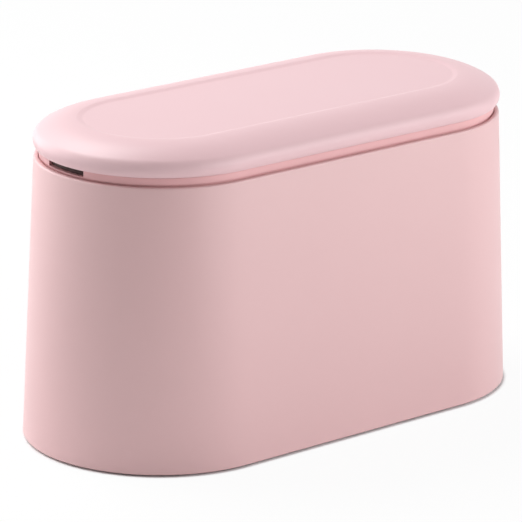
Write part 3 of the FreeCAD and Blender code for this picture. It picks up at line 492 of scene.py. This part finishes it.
def grown(tree, source, values):
    """The plain mesh that a tree makes from a source mesh."""
    carrier = bpy.data.objects.new("carrier", source)
    bpy.context.scene.collection.objects.link(carrier)
    modifier = carrier.modifiers.new(tree.name, "NODES")
    modifier.node_group = tree
    for item in tree.interface.items_tree:
        if item.in_out == "INPUT" and item.name in values:
            modifier[item.identifier] = values[item.name]
    mesh = plain_mesh(carrier)
    bpy.data.objects.remove(carrier)
    if not mesh.polygons:
        raise RuntimeError(f"{tree.name} made nothing")
    shape = bmesh.new()
    shape.from_mesh(mesh)
    bmesh.ops.recalc_face_normals(shape, faces=shape.faces)
    shape.to_mesh(mesh)
    shape.free()
    mesh.shade_smooth()
    mesh.set_sharp_from_angle(angle=SHARP_ANGLE)
    for label in ("reach", "level"):
        if label in mesh.attributes:
            mesh.attributes.remove(mesh.attributes[label])
    return mesh


def plain_mesh(carrier):
    """An object's mesh with its modifiers applied."""
    bpy.context.view_layer.update()
    graph = bpy.context.evaluated_depsgraph_get()
    return bpy.data.meshes.new_from_object(carrier.evaluated_get(graph), depsgraph=graph)


def strand(points, closed=False):
    """A mesh of points joined by edges."""
    mesh = bpy.data.meshes.new("strand")
    edges = [(number, number + 1) for number in range(len(points) - 1)]
    if closed:
        edges.append((len(points) - 1, 0))
    mesh.from_pydata(points, edges, [])
    return mesh


def profile_mesh(points, closed):
    """A profile of (reach, level) points that carries both numbers at its points."""
    mesh = strand([(reach, level, 0) for reach, level in points], closed)
    for number, label in enumerate(("reach", "level")):
        layer = mesh.attributes.new(label, "FLOAT", "POINT")
        layer.data.foreach_set("value", [point[number] for point in points])
    return mesh


def arc(centre, radius, start, end, steps):
    """Points on an arc from a start angle to an end angle."""
    angles = [start + (end - start) * step / steps for step in range(steps + 1)]
    return [(centre[0] + radius * math.cos(angle), centre[1] + radius * math.sin(angle)) for angle in angles]


def softened(corners, steps):
    """An outline of (reach, level, round) corners, with an arc in place of each corner that has a round."""
    points = []
    for number, (reach, level, radius) in enumerate(corners):
        if not radius:
            points.append((reach, level))
            continue
        here = Vector((reach, level))
        before = (Vector(corners[number - 1][:2]) - here).normalized()
        after = (Vector(corners[(number + 1) % len(corners)][:2]) - here).normalized()
        half = before.angle(after) / 2
        centre = here + (before + after).normalized() * (radius / math.sin(half))
        start = here + before * (radius / math.tan(half)) - centre
        end = here + after * (radius / math.tan(half)) - centre
        turn = math.atan2(start.cross(end), start.dot(end))
        for step in range(steps + 1):
            spot = centre + Matrix.Rotation(turn * step / steps, 2) @ start
            points.append((spot.x, spot.y))
    return points


def swept_piece(points, closed, material):
    """A profile carried round the bin's path."""
    sizes = bpy.context.scene.bin_sizes
    values = {
        "Half Straight": sizes.half_straight, "End Steps": sizes.end_steps, "Side Steps": sizes.side_steps,
        "Material": material,
    }
    return grown(round_ended_tree(), profile_mesh(points, closed), values)


def turned_pieces(points, places, cutter, material):
    """A turned shape on several places."""
    spots = bpy.data.meshes.new("places")
    spots.from_pydata(places, [], [])
    helpers = [bpy.data.objects.new("helper", mesh) for mesh in (profile_mesh(points, False), cutter)]
    values = {
        "Profile": helpers[0], "Cutter": helpers[1], "Steps": bpy.context.scene.bin_sizes.turned_steps,
        "Material": material,
    }
    mesh = grown(turned_tree(), spots, values)
    for helper in helpers:
        bpy.data.objects.remove(helper)
    return mesh


def no_cutter():
    """An empty mesh, for turned pieces that nothing is cut from."""
    return bpy.data.meshes.new("no_cutter")


def corner_places(reach, level):
    """Four places on the table plan, one in each quarter."""
    return [(sign_x * reach.x, sign_y * reach.y, level) for sign_x in (-1, 1) for sign_y in (-1, 1)]


def lower_window(shape):
    """Set the foot of the button's window, or of the button's head in it, lower."""
    sizes = bpy.context.scene.bin_sizes
    behind = Vector((BUTTON_LOW.x + sizes.head_depth, 0, 0))
    faces = [face for face in shape.faces
             if abs(face.calc_center_median().z - BUTTON_LOW.z) < sizes.foot_reach]
    edges = {edge for face in faces for edge in face.edges}
    corners = {corner for face in faces for corner in face.verts}
    inward = Vector((1, 0, 0))
    bmesh.ops.bisect_plane(shape, geom=[*faces, *edges, *corners], plane_co=behind, plane_no=inward)
    for vertex in shape.verts:
        in_head = behind.x - vertex.co.x > MERGE_DISTANCE and abs(vertex.co.y) < sizes.window_reach
        if in_head and abs(vertex.co.z - BUTTON_LOW.z) < sizes.foot_reach:
            vertex.co.z -= sizes.window_drop


def mend_collar(shape):
    """Lower the window's foot and make the groove under the collar's band shallower."""
    lower_window(shape)
    sizes = bpy.context.scene.bin_sizes
    for vertex in shape.verts:
        beyond = max(abs(vertex.co.x) - sizes.half_straight, 0)
        outward = Vector((math.copysign(beyond, vertex.co.x), vertex.co.y, 0))
        on_neck = abs(outward.length - sizes.neck_radius) < sizes.moulded_edge / 2
        if on_neck and abs(vertex.co.z - sizes.rim_height) < sizes.neck_push * 2:
            vertex.co += outward.normalized() * sizes.neck_push


def moulded_copy(node, material, mend=None):
    """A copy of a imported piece, mended, with its triangles joined into faces and its edges softened."""
    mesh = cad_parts[node].data.copy()
    shape = bmesh.new()
    shape.from_mesh(mesh)
    bmesh.ops.remove_doubles(shape, verts=shape.verts, dist=MERGE_DISTANCE)
    bmesh.ops.dissolve_limit(shape, angle_limit=FLAT_ANGLE, verts=shape.verts, edges=shape.edges)
    if mend:
        mend(shape)
    bmesh.ops.recalc_face_normals(shape, faces=shape.faces)
    shape.to_mesh(mesh)
    shape.free()
    mesh.shade_smooth()
    carrier = bpy.data.objects.new("carrier", mesh)
    bpy.context.scene.collection.objects.link(carrier)
    bevel = carrier.modifiers.new("edges", "BEVEL")
    bevel.width = bpy.context.scene.bin_sizes.moulded_edge
    bevel.segments = EDGE_SEGMENTS
    bevel.limit_method = "ANGLE"
    bevel.angle_limit = SHARP_ANGLE
    carrier.modifiers.new("flat_faces", "WEIGHTED_NORMAL")
    made = plain_mesh(carrier)
    bpy.data.objects.remove(carrier)
    made.materials.clear()
    made.materials.append(material)
    return made


def one_mesh(*meshes):
    """Several meshes of one material as one."""
    shape = bmesh.new()
    for mesh in meshes:
        shape.from_mesh(mesh)
    shape.to_mesh(meshes[0])
    shape.free()
    return meshes[0]


def place_piece(name, mesh, body, node):
    """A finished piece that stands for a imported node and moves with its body."""
    piece = bpy.data.objects.new(name, mesh)
    mesh.name = name
    bpy.context.scene.collection.objects.link(piece)
    if body:
        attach(piece, body)
    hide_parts(node)
    return piece


# Operators

class BinOperator:
    """What every operator of the bin shares."""
    bl_options = {"REGISTER", "UNDO"}

    def execute(self, context):
        self.build(context.scene.bin_sizes, context.scene.bin_colours)
        return {"FINISHED"}


class BIN_OT_tub(BinOperator, Operator):
    """Tapered tub with a rounded rim, the collar's seat and the floor's snap bead"""
    bl_idname = "desktop_bin.tub"
    bl_label = "Tub"

    def build(self, sizes, colours):
        bore = sizes.rim_radius - sizes.wall
        seat = sizes.rim_height - sizes.ledge_drop
        seat_foot = seat - sizes.ledge_edge
        base_bore = sizes.base_radius - sizes.wall
        bead = sizes.foot_height + sizes.floor_seat
        stop_foot = bead + sizes.floor_room
        stop_top = stop_foot + sizes.stop_height
        soft = sizes.moulded_edge
        corners = [
            (sizes.base_radius, sizes.foot_height, sizes.foot_round),
            (sizes.rim_radius, sizes.rim_height, sizes.rim_round),
            (bore, sizes.rim_height, sizes.rim_inner_round),
            (bore, seat, soft),
            (bore - sizes.ledge_reach, seat, soft),
            (bore - sizes.ledge_reach, seat_foot, soft),
            (bore, seat_foot - sizes.ledge_reach, soft),
            (base_bore, stop_top + sizes.floor_stop, soft),
            (base_bore - sizes.floor_stop, stop_top, soft),
            (base_bore - sizes.floor_stop, stop_foot, soft),
            (base_bore, stop_foot, 0),
            (base_bore, bead, 0),
            (base_bore - sizes.snap_bead, bead - sizes.snap_bead, soft),
            (base_bore, sizes.foot_height, 0),
        ]
        plastic = moulded_plastic("body_plastic", colours.shell, colours.shell_deep, SHELL_ROUGHNESS)
        mesh = swept_piece(softened(corners, sizes.round_steps), True, plastic)
        place_piece("tub", mesh, "bin", "outer_shell")


class BIN_OT_floor_plate(BinOperator, Operator):
    """Floor plate with its stiffening rim and ribs"""
    bl_idname = "desktop_bin.floor_plate"
    bl_label = "Floor plate"

    def build(self, sizes, colours):
        plastic = moulded_plastic("floor_plastic", colours.shell, colours.shell_deep, INNER_ROUGHNESS)
        place_piece("floor_plate", moulded_copy("base_plate", plastic), "bin", "base_plate")


class BIN_OT_foot_pads(BinOperator, Operator):
    """Rubber pads with a rounded edge and ring grooves, under the floor"""
    bl_idname = "desktop_bin.foot_pads"
    bl_label = "Foot pads"
    radius: length("Radius", "Pad radius", 0.007)
    groove_step: length("Groove step", "Step from ring groove to ring groove", 0.0016)
    groove_depth: length("Groove depth", "Depth of the ring grooves", 0.0003)

    def build(self, sizes, colours):
        foot, top = PADS_LOW.z, PADS_HIGH.z
        points = [(0, foot + self.groove_depth)]
        ring = self.groove_step / 2
        while ring + self.groove_step < self.radius:
            edge = self.groove_step / 4
            points += [(ring - edge, foot + self.groove_depth), (ring, foot), (ring + 2 * edge, foot)]
            ring += self.groove_step
        corners = [
            (ring, foot, 0),
            (self.radius, foot, self.groove_step / 2),
            (self.radius, top, self.groove_depth),
            (0, top, 0),
        ]
        points += softened(corners, sizes.round_steps)
        reach = Vector((PADS_HIGH.x - self.radius, PADS_HIGH.y - self.radius))
        rubber = soft_rubber("pad_rubber", colours.rubber, colours.rubber_dust)
        mesh = turned_pieces(points, corner_places(reach, 0), no_cutter(), rubber)
        place_piece("rubber_feet", mesh, "bin", "foot_pads")


class BIN_OT_collar(BinOperator, Operator):
    """Collar of the tub's pink plastic in a deeper rose of painted shade and bounce light, with the button
    window, the shelves and the hinge ears
    """
    bl_idname = "desktop_bin.collar"
    bl_label = "Collar"

    def build(self, sizes, colours):
        # The collar's colours hold painted shade and bounce light
        plastic = moulded_plastic("collar_plastic", colours.collar, colours.collar_deep, COLLAR_ROUGHNESS)
        mesh = moulded_copy("collar_ring", plastic, mend_collar)
        place_piece("collar", mesh, "collar", "collar_ring")


class BIN_OT_latch_tray(BinOperator, Operator):
    """Tray behind the button that guides it and backs its spring"""
    bl_idname = "desktop_bin.latch_tray"
    bl_label = "Latch tray"

    def build(self, sizes, colours):
        # The tray takes the collar's colours, with their painted shade and bounce light
        plastic = moulded_plastic("tray_plastic", colours.collar, colours.collar_deep, INNER_ROUGHNESS)
        mesh = moulded_copy("latch_retainer", plastic)
        place_piece("latch_tray", mesh, "collar", "latch_retainer")


class BIN_OT_button(BinOperator, Operator):
    """Dark push button with its frame"""
    bl_idname = "desktop_bin.button"
    bl_label = "Button"

    def build(self, sizes, colours):
        plastic = rubbed_plastic("button_plastic", colours.button, colours.button_worn)
        mesh = moulded_copy("latch_button", plastic, lower_window)
        place_piece("push_button", mesh, "button", "latch_button")


class BIN_OT_lid(BinOperator, Operator):
    """Lid cover with its rounded shoulder, its shallow recess and the screw bosses inside it"""
    bl_idname = "desktop_bin.lid"
    bl_label = "Lid"
    boss_radius: length("Boss radius", "Screw boss under the cover", 0.0035)
    boss_bore: length("Boss bore", "Bore of that boss", 0.00145)
    boss_foot: length("Boss foot", "Foot of that boss above the table, on the liner", 0.1332)

    def build(self, sizes, colours):
        # The lid's colours hold painted reflection of the white room
        plastic = moulded_plastic("lid_plastic", colours.lid, colours.lid_deep, LID_ROUGHNESS)
        cover = swept_piece(self.cover_points(sizes), False, plastic)
        bosses = turned_pieces(self.boss_points(sizes), liner_screw_places(0), no_cutter(), plastic)
        place_piece("lid_top", one_mesh(cover, bosses), "lid", "lid_cover")

    def boss_points(self, sizes):
        """A boss from inside the cover's top, down over its foot and up the bore again."""
        foot = self.boss_foot
        top = sizes.lid_top - sizes.recess_depth - sizes.lid_wall / 2
        return [
            (0, top), (self.boss_radius, top), (self.boss_radius, foot), (self.boss_bore, foot),
            (self.boss_bore, top - sizes.lid_wall), (0, top - sizes.lid_wall),
        ]

    def cover_points(self, sizes):
        """The cover's section from the middle of its top, round the shoulder, to its underside's middle."""
        widest = sizes.lid_foot + sizes.lid_side
        rise = sizes.lid_top - widest
        crown_reach = sizes.lid_radius - sizes.shoulder_width
        run = sizes.shoulder_width - sizes.edge_radius
        crown_radius = (run ** 2 + rise ** 2 - sizes.edge_radius ** 2) / (2 * (rise - sizes.edge_radius))
        crown_centre = (crown_reach, sizes.lid_top - crown_radius)
        edge_centre = (sizes.lid_radius - sizes.edge_radius, widest)
        joint = math.atan2(edge_centre[1] - crown_centre[1], edge_centre[0] - crown_centre[0])
        panel = sizes.lid_top - sizes.recess_depth
        steps = SHOULDER_FINENESS * sizes.round_steps
        points = [(0, panel)]
        for step in range(steps):
            share = step / steps
            level = panel + sizes.recess_depth * (1 - math.cos(math.pi * share)) / 2
            points.append((crown_reach - sizes.recess_slope * (1 - share), level))
        points += arc(crown_centre, crown_radius, math.pi / 2, joint, steps)
        low_end = -math.asin((sizes.lid_side - 2 * sizes.lid_edge_round) / sizes.edge_radius)
        points += arc(edge_centre, sizes.edge_radius, joint, low_end, steps)[1:]
        foot_reach = edge_centre[0] + math.sqrt(sizes.edge_radius ** 2 - sizes.lid_side ** 2)
        bore = sizes.lid_radius - sizes.lid_bore_inset
        corners = [
            (*points[-1], 0),
            (foot_reach, sizes.lid_foot, sizes.lid_edge_round),
            (bore, sizes.lid_foot, sizes.lid_edge_round),
            (bore, sizes.lid_foot + sizes.cavity_side, 0),
            (bore - sizes.cavity_corner, panel - sizes.lid_wall, 0),
            (0, panel - sizes.lid_wall, 0),
        ]
        return points + softened(corners, sizes.round_steps)[1:]


class BIN_OT_lid_liner(BinOperator, Operator):
    """Liner plate under the lid, with the latch hook and the hinge knuckles"""
    bl_idname = "desktop_bin.lid_liner"
    bl_label = "Lid liner"

    def build(self, sizes, colours):
        # The liner takes the lid's colours, with their painted reflection
        plastic = moulded_plastic("liner_plastic", colours.lid, colours.lid_deep, INNER_ROUGHNESS)
        place_piece("lid_inner", moulded_copy("lid_liner", plastic), "lid", "lid_liner")


# Shares of a screw's head and shank
HEAD_ROUND_SHARE = 0.35
HEAD_EDGE_SHARE = 0.05
POINT_START_SHARE = 0.75
POINT_TIP_SHARE = 0.3
CROSS_BAR_SHARES = (1.1, 0.26, 0.5)

# Head radius of the liner screws, in metres
LINER_HEAD = 0.0026


def liner_screw_places(level):
    """The liner screws' axes at a level."""
    corner = Vector((LINER_SCREWS_HIGH.x - LINER_HEAD, LINER_SCREWS_HIGH.y - LINER_HEAD))
    return corner_places(corner, level)


class BIN_OT_screws(BinOperator, Operator):
    """Pan-head screws with a cross recess, under the liner and on the latch tray"""
    bl_idname = "desktop_bin.screws"
    bl_label = "Screws"
    liner_shank: length("Liner shank", "Shank radius of the liner screws", 0.0014)
    latch_head: length("Latch head", "Head radius of the latch screws", 0.0019)
    latch_shank: length("Latch shank", "Shank radius of the latch screws", 0.0010)
    head_height: length("Head height", "Height of the heads", 0.0014)

    def build(self, sizes, colours):
        steel = drawn_steel("screw_steel", colours.steel, colours.steel_dark, EVEN_SHARES, SCREW_ROUGHNESS)
        seat = LINER_SCREWS_LOW.z + self.head_height
        shank = LINER_SCREWS_HIGH.z - seat
        mesh = self.screw_set(steel, liner_screw_places(seat), LINER_HEAD, self.liner_shank, shank, 1)
        place_piece("liner_screw_set", mesh, "lid", "liner_screws")
        low, high = LATCH_SCREWS_LOW, LATCH_SCREWS_HIGH
        seat = high.z - self.head_height
        middle = (low.x + high.x) / 2
        places = [(middle, sign * (high.y - self.latch_head), seat) for sign in (-1, 1)]
        mesh = self.screw_set(steel, places, self.latch_head, self.latch_shank, seat - low.z, -1)
        place_piece("latch_screw_set", mesh, "collar", "latch_screws")

    def screw_set(self, steel, places, head, stem, shank, way):
        """A set of like screws; way is 1 where the shank points up and -1 where it points down."""
        top = self.head_height
        corners = [
            (0, -top * way, 0),
            (head, -top * way, head * HEAD_ROUND_SHARE),
            (head, 0, head * HEAD_EDGE_SHARE),
            (stem, 0, 0),
            (stem, shank * POINT_START_SHARE * way, 0),
            (stem * POINT_TIP_SHARE, shank * way, 0),
            (0, shank * way, 0),
        ]
        points = softened(corners, bpy.context.scene.bin_sizes.round_steps)
        return turned_pieces(points, places, cross_cutter(head, -top * way), steel)


def cross_cutter(head, level):
    """Two crossed bars that cut a driver recess into a screw head."""
    shape = bmesh.new()
    for turn in (0, math.pi / 2):
        bar = Matrix.Diagonal((*(head * side for side in CROSS_BAR_SHARES), 1))
        move = Matrix.Translation((0, 0, level)) @ Matrix.Rotation(turn, 4, "Z") @ bar
        bmesh.ops.create_cube(shape, size=1, matrix=move)
    mesh = bpy.data.meshes.new("cross")
    shape.to_mesh(mesh)
    shape.free()
    return mesh


class BIN_OT_hinge_pin(BinOperator, Operator):
    """Steel hinge pin with chamfered ends"""
    bl_idname = "desktop_bin.hinge_pin"
    bl_label = "Hinge pin"
    chamfer: length("Chamfer", "Chamfer on the pin's ends", 0.0003)

    def build(self, sizes, colours):
        radius = (PIN_HIGH.z - PIN_LOW.z) / 2
        centre = (PIN_LOW + PIN_HIGH) / 2
        half = PIN_HIGH.y - centre.y
        points = [
            (0, -half), (radius - self.chamfer, -half), (radius, self.chamfer - half),
            (radius, half - self.chamfer), (radius - self.chamfer, half), (0, half),
        ]
        steel = drawn_steel("pin_steel", colours.steel, colours.steel_dark, PIN_STRETCH_SHARES, PIN_ROUGHNESS)
        mesh = turned_pieces(points, [(0, 0, 0)], no_cutter(), steel)
        mesh.transform(Matrix.Translation(centre) @ Matrix.Rotation(math.pi / 2, 4, "X"))
        place_piece("pin", mesh, "collar", "hinge_pin")


WIRE_STEPS = 40
WIRE_SIDES = 14


def wound_wire(name, points, wire, colours):
    """Spring wire along a list of points."""
    steel = drawn_steel(name, colours.steel, colours.steel_dark, EVEN_SHARES, SPRING_ROUGHNESS)
    values = {"Radius": wire / 2, "Sides": WIRE_SIDES, "Material": steel}
    return grown(wire_tree(), strand(points), values)


class BIN_OT_hinge_spring(BinOperator, Operator):
    """Torsion spring on the hinge pin, with one leg on the collar and one under the liner"""
    bl_idname = "desktop_bin.hinge_spring"
    bl_label = "Hinge spring"
    wire: length("Wire", "Wire of the spring", 0.0008)
    radius: length("Radius", "Middle of the wire from the pin's axis", 0.0023)
    pitch: length("Pitch", "Step for each turn", 0.0026)
    turns: whole("Turns", "Turns of the spring", 3, 1)
    foot_lean: degrees("Foot lean", "Lean of the leg on the shelf", 14.324)
    lid_lean: degrees("Lid lean", "Rise of the leg under the liner", 9.740)
    lid_leg: length("Lid leg", "Leg under the liner", 0.0097)

    def build(self, sizes, colours):
        mesh = wound_wire("hinge_spring_steel", self.points(), self.wire, colours)
        spring = place_piece("torsion_spring", mesh, None, "hinge_spring")
        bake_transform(spring)

    def points(self):
        """From the foot of the leg on the shelf, round the pin, to the tip of the leg under the liner."""
        axis = (PIN_LOW + PIN_HIGH) / 2
        start = math.pi - self.foot_lean
        sweep = 2 * math.pi * self.turns - math.pi / 2 - self.foot_lean + self.lid_lean
        span = self.pitch * self.turns
        steps = WIRE_STEPS * self.turns
        points = []
        for step in range(steps + 1):
            angle = start - sweep * step / steps
            side = self.radius * Vector((math.cos(angle), 0, math.sin(angle)))
            points.append(axis + side + Vector((0, (step / steps - MIDDLE_SHARE) * span, 0)))
        foot = HINGE_COIL_LOW.z + self.wire / 2
        way = (points[0] - points[1]).normalized()
        points.insert(0, points[0] + way * ((points[0].z - foot) / -way.z))
        way = (points[-1] - points[-2]).normalized()
        points.append(points[-1] + way * self.lid_leg)
        return points


class BIN_OT_button_spring(BinOperator, Operator):
    """Compression spring between the tray's end and the button"""
    bl_idname = "desktop_bin.button_spring"
    bl_label = "Button spring"
    wire: length("Wire", "Wire of the spring", 0.0005)
    radius: length("Radius", "Middle of the wire from the spring's axis", 0.0018)
    travel: length("Travel", "Push of the button", 0.002)
    turns: whole("Turns", "Turns of the spring", 3, 1)

    def build(self, sizes, colours):
        mesh = wound_wire("button_spring_steel", self.points(), self.wire, colours)
        spring = place_piece("return_spring", mesh, "collar", "button_spring")
        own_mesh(spring)

    def points(self):
        """Turns along the push from the latch bar to the tray's end."""
        middle = (BUTTON_COIL_LOW + BUTTON_COIL_HIGH) / 2
        start = BUTTON_COIL_LOW.x + self.wire / 2
        end = BUTTON_COIL_HIGH.x - self.wire / 2
        steps = WIRE_STEPS * self.turns
        points = []
        for step in range(steps + 1):
            angle = 2 * math.pi * self.turns * step / steps
            along = start + (end - start) * step / steps
            across = self.radius * math.cos(angle)
            points.append((along, middle.y + across, middle.z + self.radius * math.sin(angle)))
        return points


# Sides and places of the softboxes, in metres
HIGH_SIDES = (0.9, 0.6)
LOW_SIDES = (0.9, 1.0)
SOFTBOXES = {
    "high_back": ((-0.2, 0.65, 1.1), HIGH_SIDES),
    "left": ((-0.95, 0.8, 0.45), LOW_SIDES),
    "back_left": ((-0.35, 1.2, 0.45), LOW_SIDES),
    "front_left": ((-1.25, 0.1, 0.45), LOW_SIDES),
    "right": ((0.95, -0.8, 0.45), LOW_SIDES),
    "front_right": ((0.35, -1.2, 0.45), LOW_SIDES),
}

WHITE = (1, 1, 1)


class BIN_OT_stage(Operator):
    """White studio floor, softboxes and the camera"""
    bl_idname = "desktop_bin.stage"
    bl_label = "Stage"
    floor_size: length("Floor size", "Side of the studio floor", 6)

    def execute(self, context):
        stage = context.scene.bin_stage
        context.scene.view_settings.view_transform = "Standard"
        self.add_floor(context, stage)
        self.add_world(context, stage)
        for name, (place, size) in SOFTBOXES.items():
            self.add_softbox(context, name, place, size, getattr(stage, name))
        self.add_camera(context, stage)
        return {"FINISHED"}

    def seen_directly(self, tree):
        """1 for what the camera, a reflection or glass sees."""
        camera = add_node(tree, "ShaderNodeLightPath", {}, {}, "Is Camera Ray")
        return (camera + camera.also("Is Glossy Ray") + camera.also("Is Transmission Ray")).clamped()

    def add_floor(self, context, stage):
        """A floor that is white where nothing shades it."""
        half = self.floor_size / 2
        mesh = bpy.data.meshes.new("studio_floor")
        corners = [(-half, -half, 0), (half, -half, 0), (half, half, 0), (-half, half, 0)]
        mesh.from_pydata(corners, [], [range(len(corners))])
        floor = bpy.data.objects.new("studio_floor", mesh)
        context.scene.collection.objects.link(floor)
        material = bpy.data.materials.new("studio_floor")
        material.use_nodes = True
        tree = material.node_tree
        tree.nodes.clear()
        shade = opaque(context.scene.bin_colours.floor)
        paper = add_node(tree, "ShaderNodeBsdfDiffuse", {}, {"Color": shade})
        white = add_node(tree, "ShaderNodeEmission", {}, {"Strength": 1})
        place = add_node(tree, "ShaderNodeTexCoord", {}, {}, "Object")
        across = add_node(tree, "ShaderNodeSeparateXYZ", {}, {"Vector": place}, "X")
        beyond = (across.math("ABSOLUTE") - context.scene.bin_sizes.half_straight).math("MAXIMUM", 0)
        apart = (beyond * beyond + across.also("Y") * across.also("Y")).math("SQRT")
        near = (1 - (apart - context.scene.bin_sizes.base_radius) / stage.contact_reach).clamped()
        kept = stage.shadow_share + (1 - stage.shadow_share) * near * near
        share = self.seen_directly(tree) * (1 - kept)
        shown = add_node(tree, "ShaderNodeMixShader", {}, {0: share, 1: paper, 2: white})
        add_node(tree, "ShaderNodeOutputMaterial", {}, {"Surface": shown})
        mesh.materials.append(material)

    def add_world(self, context, stage):
        """Even room light, white to the camera."""
        world = bpy.data.worlds.new("studio")
        context.scene.world = world
        world.use_nodes = True
        tree = world.node_tree
        tree.nodes.clear()
        shade = opaque(WHITE)
        room = add_node(tree, "ShaderNodeBackground", {}, {"Color": shade, "Strength": stage.ambient})
        white = add_node(tree, "ShaderNodeBackground", {}, {"Color": shade, "Strength": 1})
        shown = add_node(tree, "ShaderNodeMixShader", {}, {0: self.seen_directly(tree), 1: room, 2: white})
        add_node(tree, "ShaderNodeOutputWorld", {}, {"Surface": shown})

    def add_softbox(self, context, name, place, size, power):
        """A rectangular lamp that faces the bin."""
        lamp = bpy.data.lights.new(name, "AREA")
        lamp.shape = "RECTANGLE"
        lamp.size, lamp.size_y = size
        lamp.energy = power
        softbox = bpy.data.objects.new(name, lamp)
        context.scene.collection.objects.link(softbox)
        softbox.location = place
        way = Vector(context.scene.bin_stage.aim) - Vector(place)
        softbox.rotation_euler = way.to_track_quat("-Z", "Y").to_euler()

    def add_camera(self, context, stage):
        """The camera at the picture's viewing angle."""
        flat = math.cos(stage.elevation)
        level = Vector((math.cos(stage.azimuth), math.sin(stage.azimuth), 0))
        back = Vector((level.y * flat, -level.x * flat, math.sin(stage.elevation)))
        lens = bpy.data.cameras.new("camera")
        lens.lens = stage.lens
        camera = bpy.data.objects.new("camera", lens)
        context.scene.collection.objects.link(camera)
        upward = back.cross(level)
        right = level * math.cos(stage.roll) + upward * math.sin(stage.roll)
        turn = Matrix((right, back.cross(right), back)).transposed().to_4x4()
        camera.matrix_world = Matrix.Translation(Vector(stage.aim) + back * stage.distance) @ turn
        context.scene.camera = camera


PIECE_OPERATORS = (
    BIN_OT_tub, BIN_OT_floor_plate, BIN_OT_foot_pads, BIN_OT_collar, BIN_OT_latch_tray, BIN_OT_button,
    BIN_OT_button_spring, BIN_OT_lid, BIN_OT_lid_liner, BIN_OT_screws, BIN_OT_hinge_pin, BIN_OT_hinge_spring,
    BIN_OT_stage,
)


class BIN_PT_panel(Panel):
    """The bin's sizes, colours and pieces"""
    bl_idname = "BIN_PT_panel"
    bl_label = "Desktop bin"
    bl_space_type = "VIEW_3D"
    bl_region_type = "UI"
    bl_category = "Desktop bin"

    def draw(self, context):
        layout = self.layout
        for group in (context.scene.bin_sizes, context.scene.bin_colours, context.scene.bin_stage):
            box = layout.box()
            for label in group.__annotations__:
                box.prop(group, label)
        for operator in PIECE_OPERATORS:
            layout.operator(operator.bl_idname)


CLASSES = (BinSizes, BinColours, BinStage, *PIECE_OPERATORS, BIN_PT_panel)


def register():
    """Register the classes and hang the settings on the scene."""
    for entry in CLASSES:
        bpy.utils.register_class(entry)
    bpy.types.Scene.bin_sizes = PointerProperty(type=BinSizes)
    bpy.types.Scene.bin_colours = PointerProperty(type=BinColours)
    bpy.types.Scene.bin_stage = PointerProperty(type=BinStage)


def unregister():
    """Take the settings and the classes away again."""
    del bpy.types.Scene.bin_stage
    del bpy.types.Scene.bin_colours
    del bpy.types.Scene.bin_sizes
    for entry in reversed(CLASSES):
        bpy.utils.unregister_class(entry)


def main():
    """Build every piece and the stage."""
    register()
    pieces = bpy.ops.desktop_bin
    pieces.tub()
    pieces.floor_plate()
    pieces.foot_pads()
    pieces.collar()
    pieces.latch_tray()
    pieces.button()
    pieces.button_spring()
    pieces.lid()
    pieces.lid_liner()
    pieces.screws()
    pieces.hinge_pin()
    pieces.hinge_spring()
    pieces.stage()


if __name__ == "__main__":
    main()
